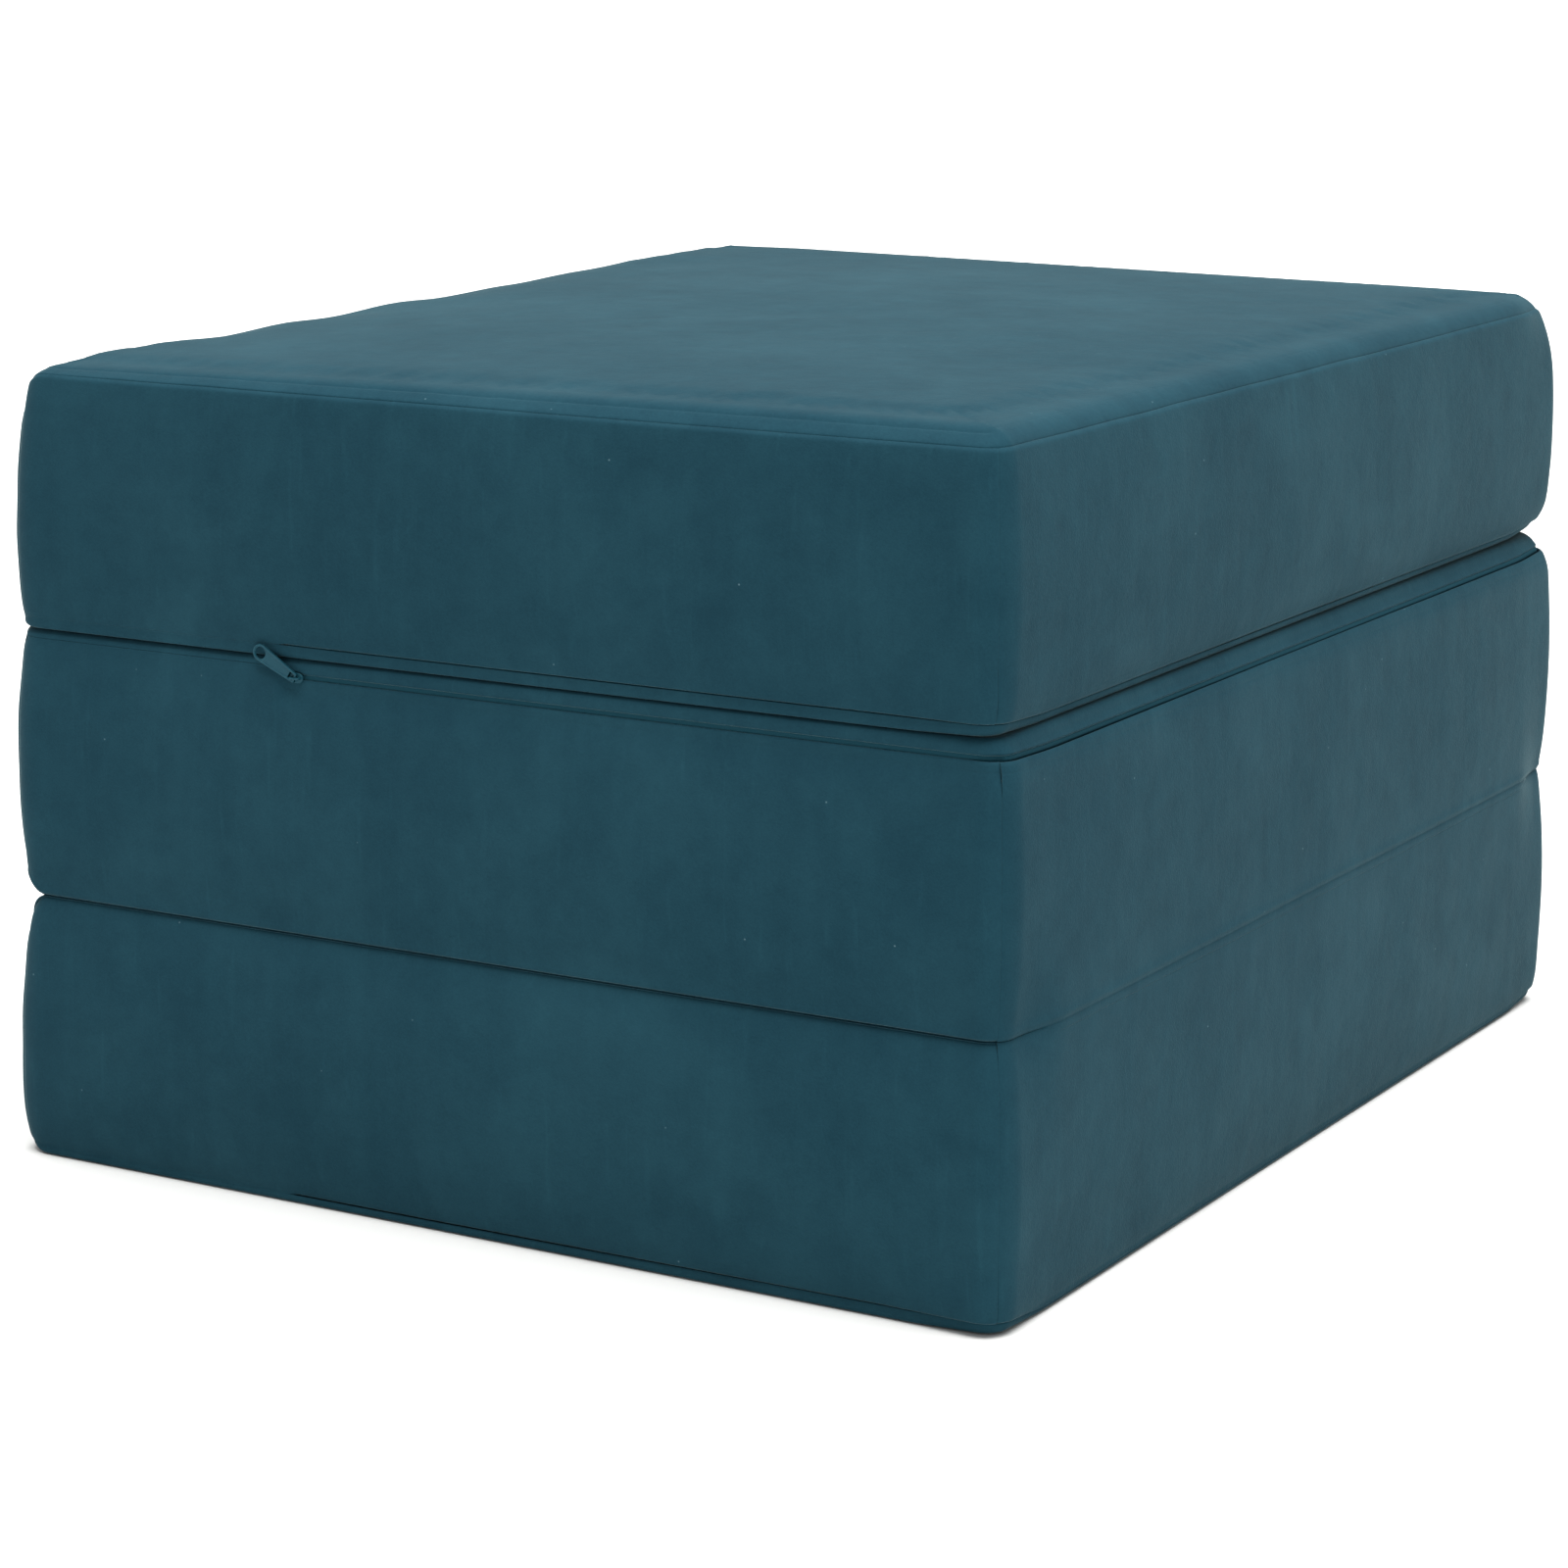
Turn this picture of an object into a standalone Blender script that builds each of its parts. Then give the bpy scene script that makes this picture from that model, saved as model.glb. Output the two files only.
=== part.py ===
"""Folding sofa bed, stored folded: three zipped foam cushions joined by two fabric hinges.

X runs along the bed's length, Y along the hinges and Z up. The origin is the middle of the
underside. The bottom cushion lies sleeping face up, the middle one face down on it, and the
top one face up again. The middle cushion hinges to the bottom one on the right, at their
sleeping faces, and the top cushion hinges to the middle one on the left, at their bases.
"""

import math
from dataclasses import dataclass

import bmesh
import bpy
from mathutils import Matrix, Vector

# Driving dimensions, in metres
PANEL_LENGTH = 0.640
PANEL_WIDTH = 0.776
PANEL_PITCH = 0.157
FACE_GAP = 0.0003
SEAM_GAP = 0.0003
FIT_GAP = 0.0003

# Outer form of a cushion
CORNER_RADIUS = 0.014
LEFT_ROLL_REACH = 0.019
LEFT_ROLL_DROP = 0.019
BASE_EDGE_RADIUS = 0.0065
BASE_HINGE_RADIUS = 0.004
BASE_ROLL_RADIUS = 0.014
BASE_WRAP = 0.008
SEAM_LIP = 0.0015
SIDE_BULGE = 0.007
LEFT_RIPPLE = 0.0015
TOP_CROWN = 0.007
TOP_SEAM_DROP = 0.0095
PRESSED_SEAM_DROP = 0.003
TOP_ROLL_POWER = 1.5
ROUND_ROLL_POWER = 3.0
CORNER_BULGE_SHARE = 0.9
BULGE_POWER = 0.85
RIPPLE_WAVES = 3.0
RIPPLE_PHASE = 0.6

# Cover, foam and hinge cloth
COVER_THICKNESS = 0.0012
FOAM_SIDE_GAP = 0.0026
FOAM_TOP_GAP = 0.0009
FOAM_EDGE_RADIUS = 0.018
HINGE_CLOTH_THICKNESS = 0.0012
HINGE_CLOTH_REACH = 0.009
HINGE_CLOTH_DIP = 0.001
HINGE_AXIS_CLEARANCE = 0.0006

# Zip
ZIP_START_FROM_LEFT = 0.195
ZIP_END_TAPER = 0.006
ZIP_SLOT = 0.0042
TAPE_THICKNESS = 0.0006
TAPE_SLOT_RECESS = 0.0011
TAPE_SPLIT = 0.0006
TAPE_BAND_WIDTH = 0.011
TAPE_SHOULDER = 0.0012
TAPE_BASE_SHARE = 0.6
CHAIN_WIDTH = 0.0020
CHAIN_THICKNESS = 0.0014
CHAIN_DEPTH = 0.00135
STOP_LENGTH = 0.0020
STOP_WIDTH = 0.0030
STOP_THICKNESS = 0.00105

# Zip slider and pull
SLIDER_LENGTH = 0.009
SLIDER_NOSE_LENGTH = 0.003
SLIDER_WIDTH = 0.0058
SLIDER_PLATE_THICKNESS = 0.001
SLIDER_LIP_CLEARANCE = 0.0005
FLANGE_THICKNESS = 0.00045
FLANGE_DEPTH = 0.0017
BAIL_LENGTH = 0.0069
BAIL_LEG = 0.0010
BAIL_WIDTH = 0.0012
BAIL_WINDOW_HEIGHT = 0.0021
BAIL_TOP_THICKNESS = 0.0010
PULL_LENGTH = 0.0315
PULL_THICKNESS = 0.0011
PULL_END_RADIUS = 0.00475
PULL_NECK_WIDTH = 0.0076
PULL_BAR = 0.0010
PULL_SLOT_LENGTH = 0.0039
PULL_SLOT_WIDTH = 0.0050
PULL_HOLE_RADIUS = 0.0027
PULL_RIM_WIDTH = 0.0010
PULL_RIM_OVERLAP = 0.0003
PULL_RIM_THICKNESS = 0.0018

# Shares and counts that shape the grids
RING_SHARES = (0.0, 0.0, 0.35, 0.7, 1.0)
SEAM_COLUMN_SHARES = (1.0, 0.87, 0.58, 0.29, 0.0)
RISE_SHARES = (0.0, 0.1, 0.35, 0.65, 0.9, 1.0)
CORNER_CELLS = 4
RUN_CELLS_LENGTH = 5
RUN_CELLS_WIDTH = 8
FOAM_CUTS = 5
ARC_STEPS = 4
PULL_ARC_STEPS = 10
CHAIN_SIDES = 8
QUARTER = math.pi / 2
ROUND_EDGE_SHARE = 1 - math.sqrt(1 / 2)
ROUND_CORNER_SHARE = 1 - math.sqrt(1 / 3)
SMOOTH_ANGLE = math.radians(40)

# Sizes worked out from the ones above
THICKNESS = PANEL_PITCH - FACE_GAP
HALF_LENGTH = PANEL_LENGTH / 2
HALF_WIDTH = PANEL_WIDTH / 2
ZIP_LEVEL = BASE_WRAP + ZIP_SLOT / 2
ZIP_START = ZIP_START_FROM_LEFT - HALF_LENGTH
BAND_BOTTOM = BASE_WRAP + ZIP_SLOT
HINGE_OFFSET = HALF_LENGTH + SIDE_BULGE + HINGE_AXIS_CLEARANCE
TAPE_DEPTH = COVER_THICKNESS + FIT_GAP
PIVOT_HEIGHT = SLIDER_LIP_CLEARANCE + SLIDER_PLATE_THICKNESS + BAIL_WINDOW_HEIGHT / 2
SLIDER_REST = ZIP_START + STOP_LENGTH + SEAM_GAP + SLIDER_LENGTH / 2

# Colours as linear red, green, blue, and how the surfaces shine
VELVET = (0.022, 0.085, 0.112)
VELVET_BASE = (0.019, 0.074, 0.099)
FOAM = (0.80, 0.76, 0.62)
TAPE = (0.012, 0.050, 0.068)
CHAIN = (0.008, 0.035, 0.048)
COATED_METAL = (0.030, 0.110, 0.145)
CLOTH_ROUGHNESS = 0.85
FOAM_ROUGHNESS = 0.95
COATED_ROUGHNESS = 0.35
COATED_METALLIC = 0.6


@dataclass
class Panel:
    """One cushion: its place in the stack and how its edges are shaped."""

    name: str
    level: int
    flipped: bool
    seam_drop: float
    roll_power: float
    base_left_radius: float
    crown: float
    pull_lean: float


PANELS = (
    Panel("bottom", 0, False, PRESSED_SEAM_DROP, ROUND_ROLL_POWER, BASE_ROLL_RADIUS, 0.0,
          math.radians(6)),
    Panel("middle", 1, True, PRESSED_SEAM_DROP, ROUND_ROLL_POWER, BASE_HINGE_RADIUS, 0.0,
          math.radians(28)),
    Panel("top", 2, False, TOP_SEAM_DROP, TOP_ROLL_POWER, BASE_HINGE_RADIUS, TOP_CROWN,
          math.radians(25)),
)


def new_collection(name):
    collection = bpy.data.collections.new(name)
    bpy.context.scene.collection.children.link(collection)
    return collection


def new_material(name, colour, roughness, metallic=0):
    material = bpy.data.materials.new(name)
    material.use_nodes = True
    shader = material.node_tree.nodes["Principled BSDF"]
    shader.inputs["Base Color"].default_value = (*colour, 1.0)
    shader.inputs["Roughness"].default_value = roughness
    shader.inputs["Metallic"].default_value = metallic
    material.diffuse_color = (*colour, 1.0)
    return material


def coated_metal(name):
    return new_material(name, COATED_METAL, COATED_ROUGHNESS, COATED_METALLIC)


def new_object(name, mesh, collection):
    obj = bpy.data.objects.new(name, mesh)
    collection.objects.link(obj)
    return obj


def mesh_from(bm, name):
    mesh = bpy.data.meshes.new(name)
    bm.to_mesh(mesh)
    bm.free()
    return mesh


def lerp(low, high, share):
    return low + (high - low) * share


def corner_radii(side_x):
    """Plan radii of a corner: the left ones reach further along X, where the cloth rolls."""
    return (LEFT_ROLL_REACH if side_x < 0 else CORNER_RADIUS), CORNER_RADIUS


def lattice_place(i, j, cells_x, cells_y, inset_x, inset_y):
    """Plan place of one lattice point, with rings that follow the rounded outline.

    inset_x(ring, side) and inset_y(ring) give how far in a ring lies. Returns the point,
    its ring and how far it belongs to the left side, from 0 to 1.
    """
    last_x = cells_x - CORNER_CELLS
    last_y = cells_y - CORNER_CELLS
    side_x = -1 if i < cells_x / 2 else 1
    side_y = -1 if j < cells_y / 2 else 1
    from_x = min(i, cells_x - i)
    from_y = min(j, cells_y - j)
    ring = min(from_x, from_y, CORNER_CELLS)
    radius_x, radius_y = corner_radii(side_x)
    if from_x < CORNER_CELLS and from_y < CORNER_CELLS:
        span = CORNER_CELLS - ring
        along = max(from_x, from_y) - ring
        half = SEAM_COLUMN_SHARES[along] if ring == 0 else 1 - along / span
        turn = half * QUARTER / 2 if from_x == ring else QUARTER - half * QUARTER / 2
        x = HALF_LENGTH - radius_x + (radius_x - inset_x(ring, side_x)) * math.cos(turn)
        y = HALF_WIDTH - radius_y + (radius_y - inset_y(ring)) * math.sin(turn)
        left = math.cos(turn) ** 2 if side_x < 0 else 0.0
        return Vector((side_x * x, side_y * y)), ring, left
    start_x = -(HALF_LENGTH - corner_radii(-1)[0])
    end_x = HALF_LENGTH - corner_radii(1)[0]
    x = lerp(start_x, end_x, (i - CORNER_CELLS) / (last_x - CORNER_CELLS))
    y = lerp(-1, 1, (j - CORNER_CELLS) / (last_y - CORNER_CELLS)) * (HALF_WIDTH - radius_y)
    if from_x < CORNER_CELLS:
        x = side_x * (HALF_LENGTH - inset_x(ring, side_x))
    if from_y < CORNER_CELLS:
        y = side_y * (HALF_WIDTH - inset_y(ring))
    left = 1.0 if from_x < CORNER_CELLS and side_x < 0 else 0.0
    return Vector((x, y)), ring, left


def no_inset(*_):
    return 0.0


def band_run_places():
    """X places of the front and back bands' columns, with one each side of the zip's end."""
    start = LEFT_ROLL_REACH - HALF_LENGTH
    end = HALF_LENGTH - CORNER_RADIUS
    closed = ZIP_START - ZIP_END_TAPER
    return [start, lerp(start, closed, 1 / 2), closed, ZIP_START,
            lerp(ZIP_START, end, 1 / 3), lerp(ZIP_START, end, 2 / 3), end]


def side_cells(side):
    run = len(band_run_places()) - 1 if side in ("front", "back") else RUN_CELLS_WIDTH
    return 2 * CORNER_CELLS + run


def rim_place(side, k):
    """Point k of a cushion's outline on one side, from corner seam to corner seam."""
    cells_x = side_cells("front")
    cells_y = side_cells("left")
    i, j = {
        "front": (k, 0),
        "back": (k, cells_y),
        "left": (0, k),
        "right": (cells_x, k),
    }[side]
    point, _, left = lattice_place(i, j, cells_x, cells_y, no_inset, no_inset)
    places = band_run_places()
    if side in ("front", "back") and 0 <= k - CORNER_CELLS < len(places):
        point.x = places[k - CORNER_CELLS]
    return point, left


def outward(point):
    """Unit normal of the outline at a point on it."""
    side_x = math.copysign(1, point.x)
    side_y = math.copysign(1, point.y)
    radius_x, radius_y = corner_radii(side_x)
    over_x = max(abs(point.x) - (HALF_LENGTH - radius_x), 0.0) / radius_x ** 2
    over_y = max(abs(point.y) - (HALF_WIDTH - radius_y), 0.0) / radius_y ** 2
    return Vector((side_x * over_x, side_y * over_y)).normalized()


def station(side, k, trimmed=True):
    """Point, normal, run share and left share of column k of a side."""
    cells = side_cells(side)
    point, left = rim_place(side, k)
    normal = outward(point)
    if side in ("front", "back"):
        start, end = band_run_places()[0], band_run_places()[-1]
        run = abs(2 * (point.x - start) / (end - start) - 1)
    else:
        run = abs(point.y) / (HALF_WIDTH - CORNER_RADIUS)
    if trimmed and k in (0, cells):
        neighbour, _ = rim_place(side, 1 if k == 0 else cells - 1)
        point = point + (neighbour - point).normalized() * SEAM_GAP / 2
    return point, normal, min(run, 1.0), left


def swell(run_share, rise_share):
    """How far a side bulges: most in its middle, nothing at its upper and lower seams."""
    along = CORNER_BULGE_SHARE + (1 - CORNER_BULGE_SHARE) * (1 - run_share ** 4)
    return SIDE_BULGE * along * (4 * rise_share * (1 - rise_share)) ** BULGE_POWER


def ripple(y):
    """Loose cloth on the left side lies in shallow waves, from 0 to 1."""
    wave = math.sin(2 * math.pi * RIPPLE_WAVES * y / PANEL_WIDTH + RIPPLE_PHASE)
    return (1 + wave) / 2


def seam_height(panel, left):
    return THICKNESS - lerp(panel.seam_drop, LEFT_ROLL_DROP, left)


def wrap_height(panel, left):
    wrap_left = BASE_WRAP if panel.base_left_radius < BASE_WRAP else (
        panel.base_left_radius + BASE_EDGE_RADIUS)
    return lerp(BASE_WRAP, wrap_left, left)


def band_bottom(panel, side, point, left):
    """Lower edge of the side bands: above the zip slot, or closed on the base cover's seam."""
    closed = wrap_height(panel, left) + SEAM_GAP
    if side == "right":
        return BAND_BOTTOM
    opening = min(max((point.x - ZIP_START) / ZIP_END_TAPER + 1, 0.0), 1.0)
    return lerp(closed, BAND_BOTTOM, opening)


def grid_surface(cells_u, cells_v, place):
    """Grid primitive whose point (u, v) goes to place(u, v), facing away from the cushion."""
    bm = bmesh.new()
    bmesh.ops.create_grid(bm, x_segments=cells_u, y_segments=cells_v, size=1)
    for vert in bm.verts:
        u = round((vert.co.x + 1) / 2 * cells_u)
        v = round((vert.co.y + 1) / 2 * cells_v)
        vert.co = place(u, v)
    bm.normal_update()
    middle = Vector((0, 0, THICKNESS / 2))
    facing = sum(f.normal.dot(f.calc_center_median() - middle) * f.calc_area() for f in bm.faces)
    if facing < 0:
        bmesh.ops.reverse_faces(bm, faces=bm.faces)
    return bm


def cloth_object(name, bm, thickness, collection):
    mesh = mesh_from(bm, name)
    mesh.shade_smooth()
    mesh.set_sharp_from_angle(angle=SMOOTH_ANGLE)
    obj = new_object(name, mesh, collection)
    solid = obj.modifiers.new("cloth", "SOLIDIFY")
    solid.thickness = thickness
    solid.offset = -1
    solid.use_quality_normals = True
    return obj


def sleeping_cover(panel, collection):
    """Sleeping face with its rolled edges, and the left side in the same cloth."""
    cells_x = 2 * CORNER_CELLS + RUN_CELLS_LENGTH
    cells_y = side_cells("left")
    rows = len(RISE_SHARES) - 1

    def inset_x(ring, side_x):
        return RING_SHARES[ring] * corner_radii(side_x)[0]

    def inset_y(ring):
        return RING_SHARES[ring] * CORNER_RADIUS

    def place(u, v):
        i = u - rows
        if i < 0:
            point, normal, run, left = station("left", v)
            high = seam_height(panel, left) - SEAM_LIP
            low = wrap_height(panel, left) + SEAM_GAP
            rise = RISE_SHARES[u]
            loose = 1 - LEFT_RIPPLE / SIDE_BULGE * (1 - ripple(point.y)) * (1 - run ** 2)
            point = point + normal * swell(run, rise) * loose
            return Vector((point.x, point.y, lerp(low, high, rise)))
        point, ring, left = lattice_place(i, v, cells_x, cells_y, inset_x, inset_y)
        height = seam_height(panel, left)
        power = lerp(panel.roll_power, ROUND_ROLL_POWER, left)
        if ring == 0:
            if i == 0:
                point = station("left", v)[0]
            return Vector((point.x, point.y, height - SEAM_LIP))
        fall = (THICKNESS - height) * (1 - RING_SHARES[ring]) ** power
        across = 1 - (point.x / HALF_LENGTH) ** 2
        down = 1 - (point.y / HALF_WIDTH) ** 2
        crown = panel.crown * across * down * RING_SHARES[ring]
        return Vector((point.x, point.y, THICKNESS - fall + crown))

    bm = grid_surface(rows + cells_x, cells_y, place)
    return cloth_object(f"{panel.name}_sleeping_cover", bm, COVER_THICKNESS, collection)


def side_band(panel, side, collection):
    """Boxing band of one side, from the zip slot up to the sleeping face's seam."""

    def place(u, v):
        point, normal, run, left = station(side, u)
        low = band_bottom(panel, side, point, left)
        high = seam_height(panel, left) - SEAM_LIP - SEAM_GAP
        rise = RISE_SHARES[v]
        point = point + normal * swell(run, rise)
        return Vector((point.x, point.y, lerp(low, high, rise)))

    bm = grid_surface(side_cells(side), len(RISE_SHARES) - 1, place)
    return cloth_object(f"{panel.name}_{side}_band", bm, COVER_THICKNESS, collection)


def base_cover(panel, collection):
    """Base cloth with its edges wrapped up to the zip, and to the left side's seam."""
    cells = 2 * CORNER_CELLS + 1
    edge_shares = (0.0, 0.0, ROUND_EDGE_SHARE, 1.0)
    height_shares = (0.0, 1.0, ROUND_EDGE_SHARE, 0.0)

    def inset_x(ring, side_x):
        if ring == CORNER_CELLS:
            return corner_radii(side_x)[0]
        radius = panel.base_left_radius if side_x < 0 else BASE_EDGE_RADIUS
        return edge_shares[ring] * radius

    def inset_y(ring):
        return CORNER_RADIUS if ring == CORNER_CELLS else edge_shares[ring] * BASE_EDGE_RADIUS

    def place(u, v):
        point, ring, left = lattice_place(u, v, cells, cells, inset_x, inset_y)
        if ring == 0:
            return Vector((point.x, point.y, wrap_height(panel, left)))
        if ring == CORNER_CELLS:
            return Vector((point.x, point.y, 0))
        radius = lerp(BASE_EDGE_RADIUS, panel.base_left_radius, left)
        return Vector((point.x, point.y, radius * height_shares[ring]))

    bm = grid_surface(cells, cells, place)
    return cloth_object(f"{panel.name}_base_cover", bm, COVER_THICKNESS, collection)


def foam_core(panel, collection):
    """Foam block with rounded edges, bulging sides and the sleeping face's crown."""
    bm = bmesh.new()
    bmesh.ops.create_cube(bm, size=2)
    bmesh.ops.subdivide_edges(bm, edges=bm.edges, cuts=FOAM_CUTS, use_grid_fill=True)
    half_x = HALF_LENGTH - COVER_THICKNESS - FOAM_SIDE_GAP
    half_y = HALF_WIDTH - COVER_THICKNESS - FOAM_SIDE_GAP
    low = COVER_THICKNESS + FIT_GAP
    high = THICKNESS - COVER_THICKNESS - FOAM_TOP_GAP
    half_z = (high - low) / 2
    bulge_low = max(wrap_height(panel, 1), BAND_BOTTOM)
    bulge_high = THICKNESS - LEFT_ROLL_DROP - SEAM_LIP
    knee_share = 1 - 2 / (FOAM_CUTS + 1)

    def spread(share, half):
        size = abs(share)
        flat = half - FOAM_EDGE_RADIUS
        if size > knee_share:
            reach = flat + FOAM_EDGE_RADIUS * (size - knee_share) / (1 - knee_share)
        else:
            reach = flat * size / knee_share
        return math.copysign(reach, share)

    for vert in bm.verts:
        shares = vert.co.copy()
        ends = [abs(share) > 1 - 1 / (2 * FOAM_CUTS) for share in shares]
        pull_in = {2: ROUND_EDGE_SHARE, 3: ROUND_CORNER_SHARE}.get(sum(ends), 0.0)
        place = Vector(spread(s, half) for s, half in zip(shares, (half_x, half_y, half_z)))
        for axis, at_end in enumerate(ends):
            if at_end:
                place[axis] -= math.copysign(pull_in * FOAM_EDGE_RADIUS, shares[axis])
        rise = min(max((place.z + low + half_z - bulge_low) / (bulge_high - bulge_low), 0), 1)
        room = 1 - LEFT_RIPPLE / SIDE_BULGE
        if ends[0] and not ends[2]:
            place.x += math.copysign(swell(min(abs(shares.y), 1), rise) * room, shares.x)
        if ends[1] and not ends[2]:
            place.y += math.copysign(swell(min(abs(shares.x), 1), rise) * room, shares.y)
        across = 1 - (place.x / HALF_LENGTH) ** 2
        down = 1 - (place.y / HALF_WIDTH) ** 2
        crown = panel.crown * max(across * down, 0.0) if ends[2] and shares.z > 0 else 0.0
        vert.co = place + Vector((0, 0, low + half_z + crown))
    mesh = mesh_from(bm, f"{panel.name}_foam_core")
    return new_object(f"{panel.name}_foam_core", mesh, collection)


def zip_route():
    """Points and normals along the zip: front run, right side and back run, round corners."""
    corner_x = HALF_LENGTH - CORNER_RADIUS
    corner_y = HALF_WIDTH - CORNER_RADIUS
    route = [(Vector((ZIP_START, -HALF_WIDTH)), Vector((0, -1)))]
    for side_y in (-1, 1):
        for step in range(ARC_STEPS + 1):
            turn = QUARTER * step / ARC_STEPS
            turn = turn if side_y > 0 else QUARTER - turn
            normal = Vector((math.cos(turn), side_y * math.sin(turn)))
            centre = Vector((corner_x, side_y * corner_y))
            route.append((centre + normal * CORNER_RADIUS, normal))
    route.append((Vector((ZIP_START, HALF_WIDTH)), Vector((0, 1))))
    return route


def zip_tape(panel, name, rows, collection):
    """Strip of zip tape along the route. rows holds (height, depth) pairs, low to high."""
    route = zip_route()

    def place(u, v):
        point, normal = route[u]
        height, depth = rows[v]
        point = point - normal * depth
        return Vector((point.x, point.y, height))

    bm = grid_surface(len(route) - 1, len(rows) - 1, place)
    return cloth_object(f"{panel.name}_{name}", bm, TAPE_THICKNESS, collection)


def zip_tapes(panel, collection):
    """Two tapes behind the lips of the slot, drawn in where the chain lies on them."""
    recess = TAPE_DEPTH + TAPE_SLOT_RECESS
    shoulder = ZIP_SLOT / 2 + TAPE_SHOULDER
    rounding = ROUND_EDGE_SHARE * BASE_EDGE_RADIUS
    chord = Vector((rounding, rounding - BASE_EDGE_RADIUS))
    inward = Vector((-chord.y, chord.x)).normalized() * (TAPE_DEPTH + 2 * FIT_GAP)
    turned_in = Vector((0, BASE_EDGE_RADIUS)) + chord * TAPE_BASE_SHARE + inward
    band_rows = (
        (ZIP_LEVEL + TAPE_SPLIT / 2, recess),
        (ZIP_LEVEL + shoulder, TAPE_DEPTH),
        (ZIP_LEVEL + TAPE_BAND_WIDTH, TAPE_DEPTH),
    )
    base_rows = (
        (turned_in.y, turned_in.x),
        (ZIP_LEVEL - shoulder, TAPE_DEPTH),
        (ZIP_LEVEL - TAPE_SPLIT / 2, recess),
    )
    return [
        zip_tape(panel, "zip_tape_band_side", band_rows, collection),
        zip_tape(panel, "zip_tape_base_side", base_rows, collection),
    ]


def zip_chain(panel, collection):
    """Closed chain of the zip: a many-sided bar that follows the route between the stops."""
    route = zip_route()
    shift = Vector((STOP_LENGTH + SEAM_GAP, 0))
    route[0] = (route[0][0] + shift, route[0][1])
    route[-1] = (route[-1][0] + shift, route[-1][1])
    bm = bmesh.new()
    bmesh.ops.create_grid(bm, x_segments=len(route) - 1, y_segments=CHAIN_SIDES, size=1)
    flat = 1 / math.cos(math.pi / CHAIN_SIDES)
    for vert in bm.verts:
        point, normal = route[round((vert.co.x + 1) / 2 * (len(route) - 1))]
        around = round((vert.co.y + 1) / 2 * CHAIN_SIDES) + 1 / 2
        turn = 2 * math.pi * around / CHAIN_SIDES
        lift = max(-1, min(1, flat * math.sin(turn))) * CHAIN_THICKNESS / 2
        rise = max(-1, min(1, flat * math.cos(turn))) * CHAIN_WIDTH / 2
        point = point - normal * (CHAIN_DEPTH - lift)
        vert.co = (point.x, point.y, ZIP_LEVEL + rise)
    bmesh.ops.remove_doubles(bm, verts=bm.verts, dist=FIT_GAP / 10)
    ends = [edge for edge in bm.edges if edge.is_boundary]
    bmesh.ops.holes_fill(bm, edges=ends, sides=CHAIN_SIDES)
    bmesh.ops.recalc_face_normals(bm, faces=bm.faces)
    mesh = mesh_from(bm, f"{panel.name}_zip_chain")
    mesh.shade_smooth()
    mesh.set_sharp_from_angle(angle=SMOOTH_ANGLE)
    return new_object(f"{panel.name}_zip_chain", mesh, collection)


def box(bm, low, high):
    """Box primitive between two corners."""
    low, high = Vector(low), Vector(high)
    size = high - low
    matrix = Matrix.Translation((low + high) / 2) @ Matrix.Diagonal((*size, 1))
    return bmesh.ops.create_cube(bm, size=1, matrix=matrix)


def zip_stop(panel, name, side_y, collection):
    """Stop that ends the chain on the run of one side, +1 or -1 along Y."""
    outer = HALF_WIDTH - CHAIN_DEPTH + CHAIN_THICKNESS / 2
    inner = outer - STOP_THICKNESS
    near, far = sorted((side_y * outer, side_y * inner))
    bm = bmesh.new()
    box(bm, (ZIP_START, near, ZIP_LEVEL - STOP_WIDTH / 2),
        (ZIP_START + STOP_LENGTH, far, ZIP_LEVEL + STOP_WIDTH / 2))
    mesh = mesh_from(bm, f"{panel.name}_{name}")
    return new_object(f"{panel.name}_{name}", mesh, collection)


def outline_mesh(name, outlines, thickness):
    """Flat plate in the XZ plane, centred on Y, cut from closed outlines of (x, z) points."""
    curve = bpy.data.curves.new(name, "CURVE")
    curve.dimensions = "2D"
    curve.fill_mode = "BOTH"
    curve.extrude = thickness / 2
    for outline in outlines:
        spline = curve.splines.new("POLY")
        spline.points.add(len(outline) - 1)
        for point, (x, y) in zip(spline.points, outline):
            point.co = (x, y, 0, 1)
        spline.use_cyclic_u = True
    guide = new_object(name, curve, bpy.context.scene.collection)
    depsgraph = bpy.context.evaluated_depsgraph_get()
    mesh = bpy.data.meshes.new_from_object(guide.evaluated_get(depsgraph))
    bpy.data.objects.remove(guide)
    bpy.data.curves.remove(curve)
    bm = bmesh.new()
    bm.from_mesh(mesh)
    bmesh.ops.remove_doubles(bm, verts=bm.verts, dist=FIT_GAP / 100)
    bmesh.ops.rotate(bm, verts=bm.verts, cent=(0, 0, 0), matrix=Matrix.Rotation(QUARTER, 3, "X"))
    bmesh.ops.recalc_face_normals(bm, faces=bm.faces)
    bpy.data.meshes.remove(mesh)
    return mesh_from(bm, name)


def arc(centre, radius, start, end, steps):
    return [
        (centre[0] + radius * math.cos(lerp(start, end, k / steps)),
         centre[1] + radius * math.sin(lerp(start, end, k / steps)))
        for k in range(steps + 1)
    ]


def join_solid(obj, other):
    """Fuse another solid into this one."""
    union = obj.modifiers.new("union", "BOOLEAN")
    union.operation = "UNION"
    union.solver = "EXACT"
    union.object = other


def as_cutter(obj, parent):
    obj.hide_render = True
    obj.display_type = "WIRE"
    obj.parent = parent


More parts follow.
